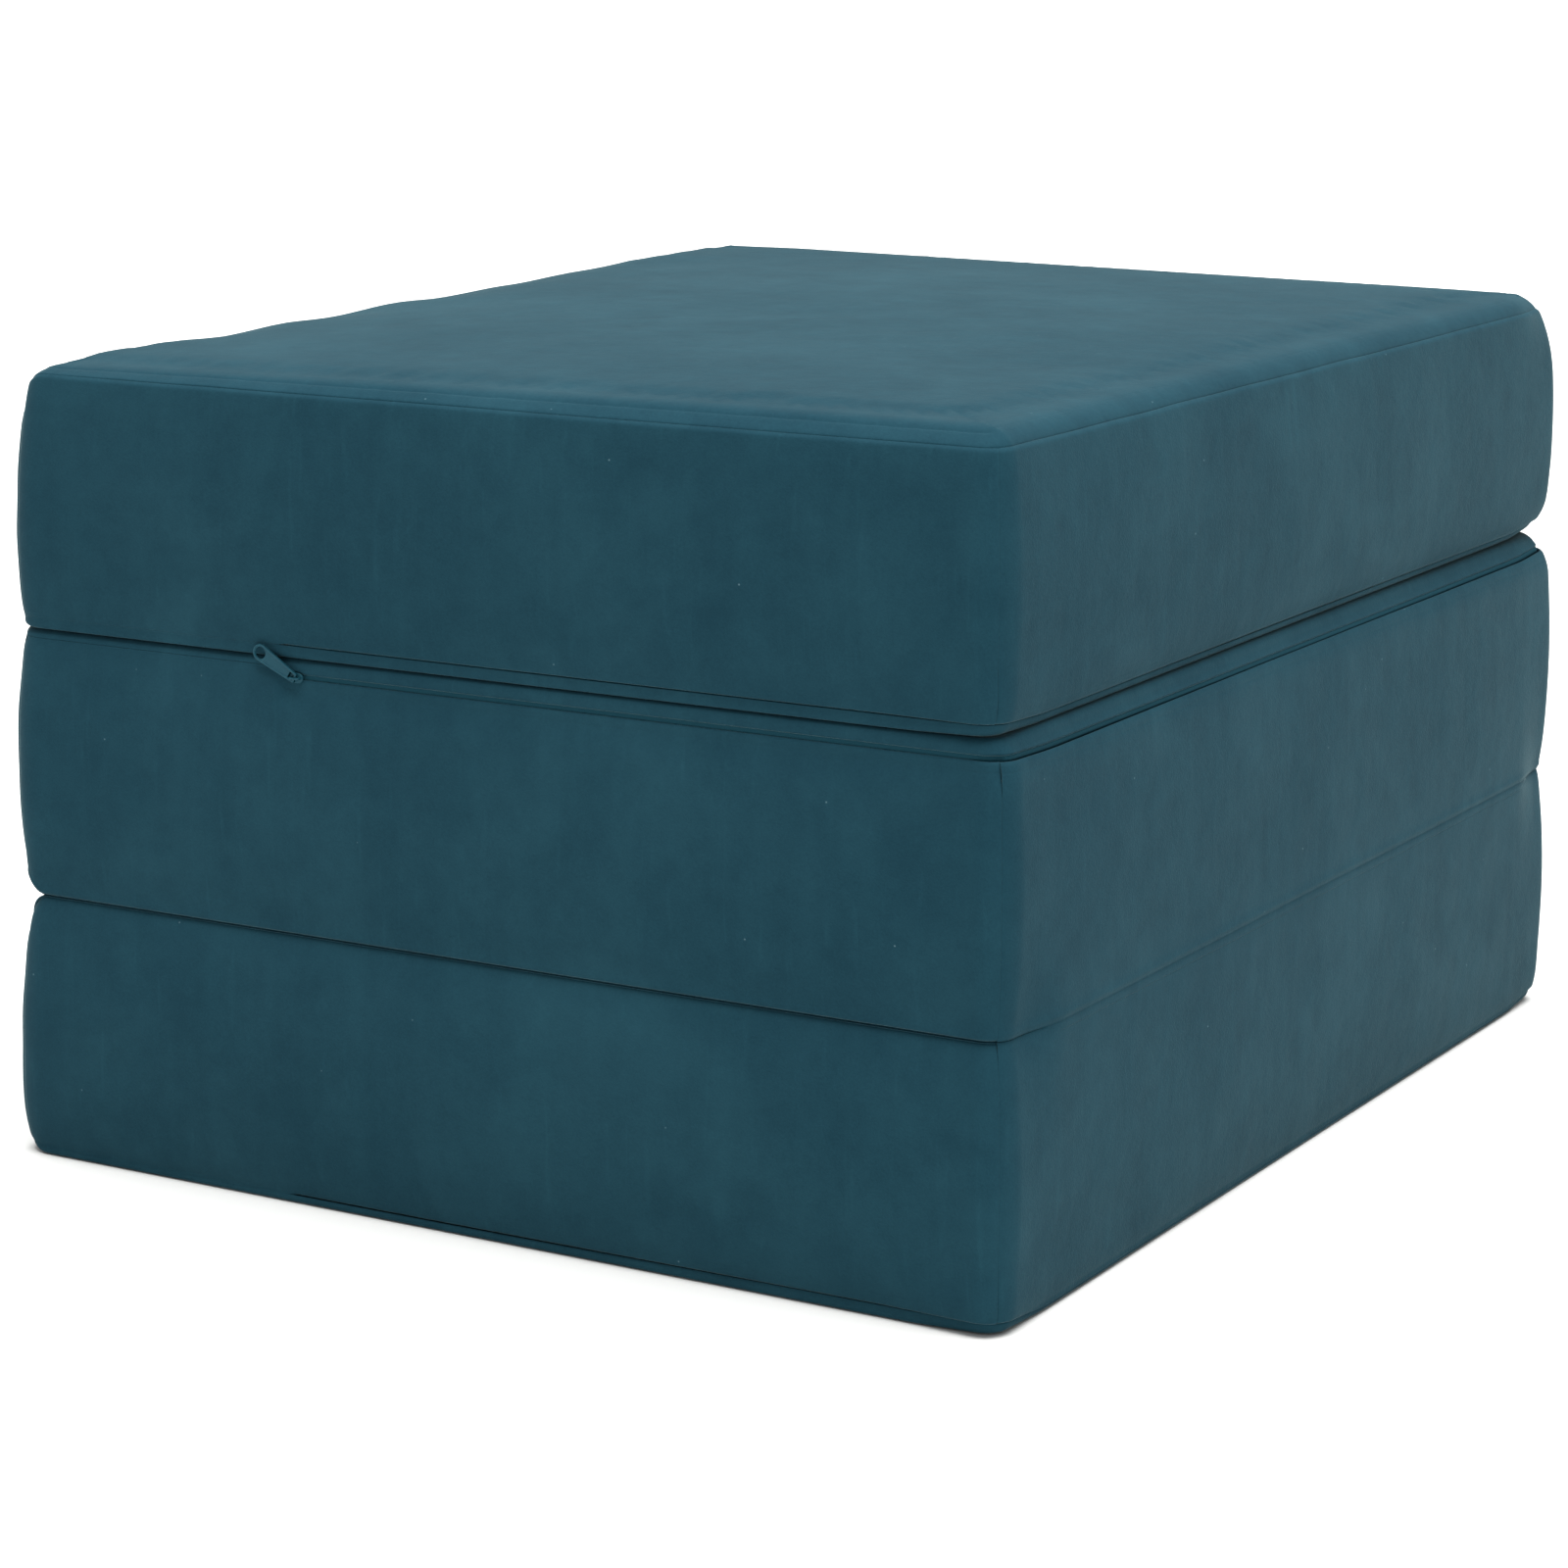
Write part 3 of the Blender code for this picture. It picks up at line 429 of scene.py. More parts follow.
    def base_radius(self, cushion, left, point):
        """Rounding of the base's edge: tight along the zip, full at the corners."""
        edge = self.c.floor_roll if cushion.on_floor else self.c.hinge_radius
        corner = min(abs(self.half_length - point.x), mm(50)) + min(
            self.half_width - abs(point.y), mm(50))
        tight = self.c.zip_radius * (2.0 if cushion.flipped and abs(point.y)
                                     > self.half_width - mm(20) else 1.0)
        full = max(1 - ease(corner, mm(4), mm(50)),
                   (1 - ease(point.x, self.zip_start - mm(20), self.zip_start + mm(60)))
                   if cushion.flipped else 0.0)
        return lerp(lerp(tight, self.c.base_radius, full), edge, left)

    # How the stack has settled

    def settle(self, cushion, point):
        """Moves a point of a cover to where the weight and the seams pull it."""
        rise = min(max(point.z / self.thickness, 0.0), 1.0)
        low, high = LEFT_SETTLE[cushion.name]
        near_left = 1 - ease(point.x, -self.half_length, -self.half_length + mm(LEFT_REACH))
        x = point.x - mm(lerp(low, high, rise)) * near_left
        y = point.y
        back = (self.half_width - y if cushion.flipped else self.half_width + y) / self.c.width
        near_right = ease(point.x, *(self.half_length - mm(reach) for reach in RIGHT_REACH))
        if cushion.pressed:
            x += self.held_out(y) * near_right * (1 - self.bow(max(rise, 0.5)))
        else:
            creep, over = (mm(v) for v in CREEP)
            x -= creep * ease(point.x, self.half_length - over, self.half_length)
        if cushion.level > 0:
            x -= mm(lerp(*BASE_DRAW, back)) * near_right * max(1 - 6 * rise, 0.0) ** 2
        low, high = CORNER_DRAW[cushion.name]
        across = Vector((self.half_length - point.x, self.half_width - abs(point.y)))
        corner = math.exp(-(across.length / mm(CORNER_REACH)) ** 2)
        draw = mm(low) * max(1 - rise * 3, 0.0) ** 2 + mm(high) * max(3 * rise - 2, 0.0) ** 2
        corner *= 1.0 if back > 0.5 else -0.1
        x -= draw * corner
        y -= math.copysign(draw * corner, y)
        return Vector((x, y, point.z))

    def bow(self, rise):
        """Shape of a bulging side, 0 at its edges and 1 half way up."""
        return (4 * rise * (1 - rise)) ** BOW_POWER

    def held_out(self, y):
        """How far the hinge holds the edges of the two sleeping faces out on the right: as
        far as the sides bulge, but not at the corners."""
        away = ease(abs(y), self.half_width - mm(62), self.half_width - mm(14))
        along = 1 - ENDS_SHARE * (y / self.half_width) ** 4
        return self.c.side_bulge * FULLEST_SHARE * along * (1 - away)

    # How far the cloth stands out

    def lumps(self, cushion, point):
        """Unevenness of foam and cloth, as two sizes of soft hollow."""
        place = Vector((point.x, point.y, point.z + cushion.seed))
        return sum(mm(depth) * noise.noise(place / mm(size)) for depth, size in LUMPS)

    def swell(self, cushion, height, left, reach):
        """How far foam pushes the side out: fullest half way up."""
        low = mm(6)
        high = self.seam_height(cushion, left)
        rise = min(max((height - low) / (high - low), 0.0), 1.0)
        along = 1 - ENDS_SHARE * reach ** 4
        return self.c.side_bulge * along * self.bow(rise) * FULLEST_SHARE

    def fullness(self, cushion, side, place, left):
        """How far foam and loose cloth push a place on a side out."""
        reach = (place.x / self.half_length if side in ("front", "back")
                 else place.y / self.half_width)
        top = self.seam_height(cushion, left)
        calm = min(ease(place.z, 0, mm(22)), ease(top - place.z, 0, mm(20)))
        out = self.swell(cushion, place.z, left, reach) + self.lumps(cushion, place) * calm
        if left > 0:
            out += self.slack(cushion, place) * left * calm
        if side == "back":
            # The cloth lies flat under the slider
            slot = ease(place.x, self.zip_start - self.z.taper, self.zip_start)
            out *= 1 - 0.9 * slot * (1 - ease(place.z, mm(11), mm(30)))
        return out

    def lip_stand(self, side, point):
        """How far a band's lip stands out over the slot: most at the right far corners."""
        if side == "left":
            return 0.0
        near, far = (mm(stand) for stand in LIP_STAND[side])
        if side == "right":
            return lerp(near, far, ease(abs(point.y), 0, self.half_width))
        if side == "back":
            return lerp(near, far, ease(point.x, self.half_length - mm(22),
                                        self.half_length - mm(4)))
        before = self.half_length - mm(80)
        return lerp(near * ease(point.x, self.zip_start, before), far,
                    ease(point.x, before, self.half_length))

    def side_point(self, cushion, side, s, height, folds=0.0, lip=None):
        """Point of the cover's outside on a side. folds is how far its edge curls in, and
        lip is the band's distance up from its lip."""
        point, normal, left, corner = self.outline(side, s)
        place = Vector((point.x, point.y, height))
        out = self.fullness(cushion, side, place, left)
        if lip is not None:
            out += self.lip_stand(side, point) * (1 - ease(lip, 0, mm(34)))
        if cushion.pressed:
            out += self.pressed_lip(cushion, side,
                                    self.seam_height(cushion, left) - height)
        corner_fold = mm(0.3) * max(1 - corner / mm(2.4), 0.0) ** 2
        out -= corner_fold + folds
        out -= round_off(height, self.base_radius(cushion, left, point))
        return self.settle(cushion, place + normal * out)

    def pressed_lip(self, cushion, side, down):
        """Where two sleeping faces meet, the upper cushion's cloth puckers out and the
        lower one's lies back under it."""
        if cushion.flipped:
            return mm(0.6) * math.exp(-((down - mm(2.6)) / mm(1.9)) ** 2)
        shade = 0.2 if side == "right" else 1.0
        return -mm(1.2) * shade * max(1 - down / mm(14), 0.0) ** 2

    def slack(self, cushion, place):
        """Loose cloth on the left side lies in waves that run up and down."""
        wave = noise.noise(Vector((cushion.seed, place.y / mm(75), place.z / mm(160))))
        ripple = noise.noise(Vector((cushion.seed, place.y / mm(150), place.z / mm(26))))
        return self.c.slack * (0.7 * wave + 0.55 * ripple - 0.35)

    # Covers as grids of points

    def side_columns(self, side):
        """Distances along a side of a band's columns, close together in its corners."""
        first, run, last = self.side_parts(side)
        near = (0, 0.015, 0.04, 0.08, 0.14, 0.22, 0.32, 0.44, 0.58, 0.72, 0.86)
        inner = [first * t for t in near]
        count = round(run / mm(COLUMN))
        inner += [first + run * k / count for k in range(count + 1)]
        inner += [first + run + last * (1 - t) for t in reversed(near)]
        if side in ("front", "back"):
            centre = self.s_of_x(side, self.zip_start)
            inner += [centre + mm(d) for d in (-8, -6.8, -5.6, -4.4, -3.2, -2, -1, 0, 1, 2.5)]
        return sorted(set(round(s, 6) for s in inner))

    def band_point(self, cushion, side, s, distance):
        """Point of a band at a distance up from its lip."""
        point = self.outline(side, s)[0]
        _, low, opening = self.lips(cushion, side, point)
        return self.side_point(cushion, side, s, low + distance,
                               self.lip_fold(distance, opening), distance)

    def lip_fold(self, distance, opening):
        """The lip is folded under, and the topstitch draws a shallow groove beside it."""
        curl = mm(1.3) * max(1 - distance / mm(1.6), 0.0) ** 2
        groove = mm(0.16) * math.exp(-((distance - self.z.stitch_inset) / mm(0.5)) ** 2)
        return (curl + groove) * opening + mm(0.04) * (1 - opening)

    def seam_roll(self, cushion, side, down):
        """A band's upper edge rolls over into its seam."""
        if cushion.pressed:
            return mm(0.1 if side == "right" else 0.6) * max(1 - down / mm(1.4), 0.0) ** 2
        return mm(1.5) * max(1 - down / mm(2.2), 0.0) ** 2

    def band(self, cushion, side):
        rows = []
        fold = mm(SEAM_FOLD)
        if cushion.pressed and side == "right":
            fold = mm(0.05) - self.c.pressed_drop
        for s in self.side_columns(side):
            point, _, left, _ = self.outline(side, s)
            _, low, opening = self.lips(cushion, side, point)
            high = (self.seam_height(cushion, left) - fold
                    + self.seam_wave(cushion, point))
            first, last = low + mm(LIP_ROWS[-1]), high - mm(SEAM_ROWS[-1])
            heights = [low + mm(d) for d in LIP_ROWS]
            heights += [lerp(first, last, k / SIDE_ROWS) for k in range(1, SIDE_ROWS)]
            heights += [high - mm(d) for d in reversed(SEAM_ROWS)]
            rows.append([
                self.side_point(cushion, side, s, height,
                                self.seam_roll(cushion, side, high - height)
                                + self.lip_fold(height - low, opening), height - low)
                for height in heights])
        return rows

    def lattice(self, i, j, cells, rings, edge):
        """Plan place of a lattice point whose rings follow the rounded outline.

        edge(axis, side, ring) gives how far in a ring lies and how far it falls. Returns
        the point, its fall, share of the left side and normal of the outline there.
        """
        near = [min(a, n - a) for a, n in zip((i, j), cells)]
        side = [-1 if a < n / 2 else 1 for a, n in zip((i, j), cells)]
        ring = min(*near, rings)
        halves = (self.half_length, self.half_width)
        spot = [0.0, 0.0]
        for axis, (a, n) in enumerate(zip((i, j), cells)):
            reach = (a - rings) / (n - 2 * rings)
            spot[axis] = (2 * reach - 1) * (halves[axis] - mm(MARGIN))
        if ring == rings:
            return Vector((*spot, 0)), 0.0, 0.0, None
        if near[0] < rings and near[1] < rings:
            span = rings - ring
            along = max(near) - ring
            half = 1 - along / (span - 1) if span > 1 else 1.0
            turn = QUARTER / 2 * (half if near[0] == ring else 2 - half)
            (in_x, fall_x), (in_y, fall_y) = (edge(a, side[a], ring) for a in (0, 1))
            point, normal = self.corner(*side, turn, (in_x, in_y))
            weight = math.cos(turn) ** 2
            left = weight if side[0] < 0 else 0.0
            return point, lerp(fall_y, fall_x, weight), left, normal
        axis = 0 if near[0] < rings else 1
        inset, fall = edge(axis, side[axis], ring)
        spot[axis] = side[axis] * (halves[axis] - inset)
        normal = Vector((0, 0, 0))
        normal[axis] = side[axis]
        return Vector((*spot, 0)), fall, float(axis == 0 and side[0] < 0), normal

    def sleeping_edge(self, cushion):
        full_fall = self.c.pressed_drop if cushion.pressed else mm(STRIP_EDGE[-1][1])

        def edge(axis, side, ring):
            if axis == 0 and side < 0:
                turn = QUARTER * ring / (RINGS - 1)
                return (self.c.left_roll * (1 - math.cos(turn)),
                        self.c.left_roll * (1 - math.sin(turn)))
            kind = "pressed" if cushion.pressed else ("strip" if axis else "soft")
            inset, rise = self.edges[kind][ring]
            return inset, full_fall - rise

        return edge

    def face_height(self, cushion, point):
        """Height of the sleeping face, crowned and uneven where nothing presses on it."""
        if cushion.pressed:
            return self.thickness
        across = max(1 - (point.x / self.half_length) ** 2, 0.0)
        down = max(1 - (point.y / self.half_width) ** 2, 0.0)
        place = Vector((point.x, point.y, cushion.seed))
        calm = ease(min(self.half_length - abs(point.x), self.half_width - abs(point.y)),
                    mm(8), mm(60))
        uneven = sum(mm(depth) * noise.noise(place / mm(size)) for depth, size in FACE_LUMPS)
        left = ease(-point.x, self.half_length - mm(LEFT_REACH), self.half_length - mm(12))
        depth, size = (mm(v) for v in LEFT_WAVES)
        waves = noise.noise(Vector((0, point.y / size, cushion.seed))) * left
        return self.thickness + self.c.crown * across * down + uneven * calm + depth * waves

    def sleeping_cover(self, cushion):
        cells = (2 * RINGS + round((self.c.length - 2 * mm(MARGIN)) / mm(FACE_CELL)),
                 2 * RINGS + round((self.c.width - 2 * mm(MARGIN)) / mm(FACE_CELL)))
        edge = self.sleeping_edge(cushion)
        rows = []
        for i in range(cells[0] + 1):
            row = []
            for j in range(cells[1] + 1):
                point, fall, left, normal = self.lattice(i, j, cells, RINGS, edge)
                height = self.face_height(cushion, point) - fall
                share_down = min(fall / mm(9), 1.0)
                if not cushion.pressed:
                    height += self.left_tilt(point) * (1 - share_down * (1 - left))
                if normal is not None and fall > 0:
                    wave = self.seam_wave(cushion, point) * (1 - left)
                    height += wave * share_down
                    if not cushion.pressed and abs(normal.y) > 0.7:
                        pucker = noise.noise(Vector((point.x / mm(4.5), point.y / mm(30), 3)))
                        strip = ease(fall, 0, mm(3)) * ease(mm(10) - fall, 0, mm(3))
                        height += mm(0.32) * pucker * strip
                row.append(Vector((point.x, point.y, height)))
            rows.append(row)
        side = self.left_side(cushion, cells, rows[0])
        return side + [[self.settle(cushion, point) for point in row] for row in rows]

    def sewn_down(self, cushion, rows):
        """How firmly each point of a sleeping cover is held: at its seams, and where the
        next cushion presses on it."""
        grid = np.array([[tuple(point) for point in row] for row in rows])
        edges = (grid[:1], grid[-1:], grid[:, :1], grid[:, -1:])
        near = np.min([np.linalg.norm(grid - edge, axis=2) for edge in edges], axis=0)
        loose = np.clip((near - mm(12)) / mm(50), 0, 1)
        if cushion.pressed:
            loose *= np.clip((self.thickness - mm(4) - grid[:, :, 2]) / mm(12), 0, 1)
        return (1 - loose ** 2 * (3 - 2 * loose)).ravel()

    def left_tilt(self, point):
        """The slack end of the uppermost cushion sags at the front and rides up behind."""
        towards_left = (1 - (point.x + self.half_length) / self.c.length) ** 1.5
        return (mm(5.5) * point.y / self.half_width - mm(0.5)) * towards_left

    def left_side(self, cushion, cells, top_row):
        """Rows of the left side, from its lip up to the roll of the sleeping face."""
        first, run, last = self.side_parts("left")
        columns = []
        for j, top in enumerate(top_row):
            near = min(j, cells[1] - j)
            if near < RINGS:
                reach = near / (RINGS - 1)
                s = first * reach if j < cells[1] / 2 else first + run + last * (1 - reach)
            else:
                s = first + top.y + self.half_width - self.c.corner_radius
            point = self.outline("left", s)[0]
            _, low, _ = self.lips(cushion, "left", point)
            high = top.z
            heights = [low + mm(d) for d in LIP_ROWS]
            start, stop = heights[-1], high - mm(LEFT_ROWS[-1])
            heights += [lerp(start, stop, k / SIDE_ROWS) for k in range(1, SIDE_ROWS)]
            heights += [high - mm(d) for d in reversed(LEFT_ROWS)]
            column = []
            for height in heights:
                side = self.side_point(cushion, "left", s, height, mm(0.04))
                joined = ease(high - height, 0, mm(16))
                flat = self.settle(cushion, Vector((top.x, top.y, height)))
                column.append(flat.lerp(side, max(joined, 0.0)) if height > high - mm(16)
                              else side)
            columns.append(column)
        return [list(row) for row in zip(*columns)]

    def base_cover(self, cushion):
        rings = BASE_RINGS
        cells = tuple(2 * rings + n for n in BASE_CELLS)
        steps = (0, 0.25, 0.6, 1.1, 1.8)

        def place(i, j):
            def flat(axis, side, ring):
                return 0.0, 0.0

            point, _, left, normal = self.lattice(i, j, cells, rings, flat)
            ring = min(i, cells[0] - i, j, cells[1] - j, rings)
            if ring == rings:
                return self.settle(cushion, Vector((point.x, point.y, 0)))
            side_x, side_y = math.copysign(1, point.x), math.copysign(1, point.y)
            side = ("right" if side_x > 0 else "left") if abs(normal.x) > abs(normal.y) else (
                "back" if side_y > 0 else "front")
            radius = self.base_radius(cushion, left, point)
            lip, _, opening = self.lips(cushion, side, point)
            start = 0.0 if lip >= radius else math.asin((radius - lip) / radius)
            wall = max(lip - radius, 0.0)
            path = wall + radius * (QUARTER - start)
            last = rings - 3
            if ring >= last:
                inward = lerp(radius, mm(MARGIN), (ring - last + 1) / 4) if ring > last else radius
                down = 0.0
            else:
                along = mm(steps[ring]) if ring < len(steps) else lerp(
                    mm(steps[-1]), path, (ring - len(steps) + 1) / (last - len(steps) + 1))
                if along < wall:
                    inward, down = 0.0, lip - along
                else:
                    turn = start + (along - wall) / radius
                    inward, down = radius * (1 - math.cos(turn)), radius * (1 - math.sin(turn))
                inward += mm(1.2) * max(1 - along / mm(1.3), 0.0) ** 2 * opening
            corner_x = self.half_length - self.radii(side_x)[0]
            corner_y = self.half_width - self.radii(side_y)[1]
            full = self.fullness(cushion, side, Vector((point.x, point.y, down)), left)
            spot = point + normal * (full - inward)
            if abs(point.x) > corner_x and abs(point.y) > corner_y and inward > mm(10):
                spot = point - normal * min(inward, mm(11.5 + ring * 0.1))
            return self.settle(cushion, Vector((spot.x, spot.y, down)))

        return [[place(i, j) for j in range(cells[1] + 1)] for i in range(cells[0] + 1)]

    # The zip's line

    def zip_line(self, cushion, step):
        """Places along a zip at an even step, before they settle: side, distance along it,
        point and normal."""
        line = []
        begin = self.s_of_x("front", self.zip_start)
        spans = [("front", begin, sum(self.side_parts("front")), 1),
                 ("right", 0.0, sum(self.side_parts("right")), 1),
                 ("back", begin, sum(self.side_parts("back")), -1)]
        carry = 0.0
        for side, low, high, direction in spans:
            at = carry
            while at <= high - low:
                s = low + at if direction > 0 else high - at
                point, normal, left, _ = self.outline(side, s)
                lip, under, _ = self.lips(cushion, side, point)
                level = (lip + under) / 2 if side in cushion.open_sides else self.zip_level
                place = Vector((point.x, point.y, level))
                place += normal * self.fullness(cushion, side, place, left)
                line.append((side, s, place, normal))
                at += step
            carry = at - (high - low)
        return line


# Mesh making


def mesh_object(name, verts, faces, matrix=Matrix.Identity(4), smooth=True):
    mesh = bpy.data.meshes.new(name)
    mesh.from_pydata([matrix @ Vector(v) for v in verts], [], faces)
    mesh.update()
    if smooth:
        mesh.shade_smooth()
    obj = bpy.data.objects.new(name, mesh)
    bpy.context.scene.collection.objects.link(obj)
    return obj


def grid_object(name, rows, matrix, inside, thickness):
    """Cloth from a grid of points, facing away from a point inside it."""
    wide = len(rows[0])
    verts = [v for row in rows for v in row]
    faces = [(a, a + 1, a + 1 + wide, a + wide)
             for r in range(len(rows) - 1)
             for a in range(r * wide, r * wide + wide - 1)]
    facing = 0.0
    for a, b, c, d in faces[:: max(len(faces) // 400, 1)]:
        normal = (verts[c] - verts[a]).cross(verts[d] - verts[b])
        facing += normal.dot(verts[a] - inside)
    if facing < 0:
        faces = [tuple(reversed(face)) for face in faces]
    obj = mesh_object(name, verts, faces, matrix)
    if thickness:
        thicken(obj, thickness)
    return obj


def thicken(obj, thickness):
    solid = obj.modifiers.new("cloth thickness", "SOLIDIFY")
    solid.thickness = thickness
    solid.offset = -1


def relax(obj, pins, cap):
    """Lets cloth settle over its filling with Blender's cloth simulation.

    pins holds each vertex, from 0 for free to 1 for sewn down. No vertex moves further
    than cap.
    """
    group = obj.vertex_groups.new(name="sewn")
    for index, weight in enumerate(pins):
        group.add([index], weight, "REPLACE")
    cloth = obj.modifiers.new("cloth", "CLOTH")
    settings = cloth.settings
    settings.quality = 4
    settings.mass = 0.35
    settings.tension_stiffness = settings.compression_stiffness = 12
    settings.shear_stiffness = 5
    settings.bending_stiffness = 0.6
    settings.shrink_min = -0.012
    settings.use_pressure = True
    settings.uniform_pressure_force = 4
    settings.vertex_group_mass = group.name
    settings.effector_weights.gravity = 0
    scene = bpy.context.scene
    for frame_number in range(1, CLOTH_FRAMES + 1):
        scene.frame_set(frame_number)
    settled = obj.evaluated_get(bpy.context.evaluated_depsgraph_get()).data
    count = len(obj.data.vertices)
    before, after = np.empty(count * 3), np.empty(count * 3)
    obj.data.vertices.foreach_get("co", before)
    settled.vertices.foreach_get("co", after)
    moved = (after - before).reshape(-1, 3)
    reach = np.linalg.norm(moved, axis=1, keepdims=True)
    moved *= np.tanh(reach / cap) * cap / np.maximum(reach, 1e-9)
    obj.modifiers.remove(cloth)
    obj.vertex_groups.remove(group)
    obj.data.vertices.foreach_set("co", before + moved.ravel())
    obj.data.update()
    scene.frame_set(1)


class Solids:
    """Collects many small closed solids into one mesh."""

    def __init__(self):
        self.verts, self.faces = [], []

    def tube(self, rings):
        """Closed solid through rings of points."""
        count = len(rings[0])
        start = len(self.verts)
        for ring in rings:
            self.verts.extend(ring)
        for r in range(len(rings) - 1):
            for k in range(count):
                a, b = start + r * count + k, start + r * count + (k + 1) % count
                self.faces.append((a, b, b + count, a + count))
        self.faces.append(tuple(reversed(range(start, start + count))))
        end = start + (len(rings) - 1) * count
        self.faces.append(tuple(range(end, end + count)))

    def object(self, name, matrix):
        return mesh_object(name, self.verts, self.faces, matrix)


def plate_mesh(name, outlines, thickness, bevel):
    """Plate in the XY plane, cut from closed outlines, with rounded rims."""
    curve = bpy.data.curves.new(name, "CURVE")
    curve.dimensions = "2D"
    curve.fill_mode = "BOTH"
    curve.extrude = thickness / 2 - bevel
    curve.bevel_depth = bevel
    curve.bevel_resolution = 2
    curve.offset = -bevel
    for outline in outlines:
        spline = curve.splines.new("POLY")
        spline.points.add(len(outline) - 1)
        for point, (x, y) in zip(spline.points, outline):
            point.co = (x, y, 0, 1)
        spline.use_cyclic_u = True
    guide = bpy.data.objects.new(name, curve)
    bpy.context.scene.collection.objects.link(guide)
    depsgraph = bpy.context.evaluated_depsgraph_get()
    mesh = bpy.data.meshes.new_from_object(guide.evaluated_get(depsgraph))
    bpy.data.objects.remove(guide)
    bpy.data.curves.remove(curve)
    return mesh


def arc(centre, radius, start, end, steps):
    return [(centre[0] + radius * math.cos(lerp(start, end, k / steps)),
             centre[1] + radius * math.sin(lerp(start, end, k / steps)))
            for k in range(steps + 1)]


def rounded(points, radius, steps=4):
    """Closed outline with its corners rounded."""
    result = []
    for k, corner in enumerate(points):
        corner = Vector(corner)
        before, after = Vector(points[k - 1]), Vector(points[(k + 1) % len(points)])
        to_before, to_after = (before - corner), (after - corner)
        cut = min(radius, to_before.length * 0.45, to_after.length * 0.45)
        start = corner + to_before.normalized() * cut
        end = corner + to_after.normalized() * cut
        for step in range(steps + 1):
            t = step / steps
            point = start.lerp(corner, t).lerp(corner.lerp(end, t), t)
            result.append((point.x, point.y))
    return result


def join_meshes(name, parts, matrix):
    """One object from several (mesh, matrix) pairs."""
    verts, faces = [], []
    for mesh, place in parts:
        start = len(verts)
        verts.extend(matrix @ place @ v.co for v in mesh.vertices)
        faces.extend(tuple(start + v for v in p.vertices) for p in mesh.polygons)
        bpy.data.meshes.remove(mesh)
    obj = mesh_object(name, verts, faces)
    obj.data.set_sharp_from_angle(angle=math.radians(35))
    return obj


def dress(obj, body, material, slot, *nodes):
    """Give a piece its finish, its body and the frame's nodes that it stands for."""
    obj.data.materials.clear()
    obj.data.materials.append(material)
    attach(obj, body)
    if nodes:
        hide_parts(*nodes)
    return obj


# Materials


def linear(hex_colour):
    """sRGB hex as linear red, green, blue and alpha."""
    channels = [int(hex_colour[k:k + 2], 16) / 255 for k in (1, 3, 5)]
    return (*(c / 12.92 if c <= 0.04045 else ((c + 0.055) / 1.055) ** 2.4
              for c in channels), 1.0)


def add_node(tree, kind, inputs=None, links=None, **settings):
    """Add a node with its settings, its input values and its links from other outputs."""
    node = tree.nodes.new(kind)
    for key, value in settings.items():
        setattr(node, key, value)
    for key, value in (inputs or {}).items():
        node.inputs[key].default_value = value
    for key, output in (links or {}).items():
        tree.links.new(output, node.inputs[key])
    return node


def new_material(name, sockets):
    """Material whose shader has those constants on its sockets. Returns it, its node tree,
    its shader and the place on the object."""
    material = bpy.data.materials.new(name)
    material.use_nodes = True
    tree = material.node_tree
    shader = tree.nodes["Principled BSDF"]
    for key, value in sockets.items():
        shader.inputs[key].default_value = value
    place = add_node(tree, "ShaderNodeTexCoord").outputs["Object"]
    return material, tree, shader, place


def shared(make):
    """Makes a finish when a piece first asks for it, and hands out the same one later."""
    def finish(look):
        return bpy.data.materials.get(make.__name__) or make(look)
    return finish


def per_mm(size):
    """Texture scale that gives a feature of that many millimetres."""
    return 1000 / size


def slanting(apart):
    """Wave texture scale for diagonal bands that many millimetres apart."""
    return 2 * math.pi * 100 / apart


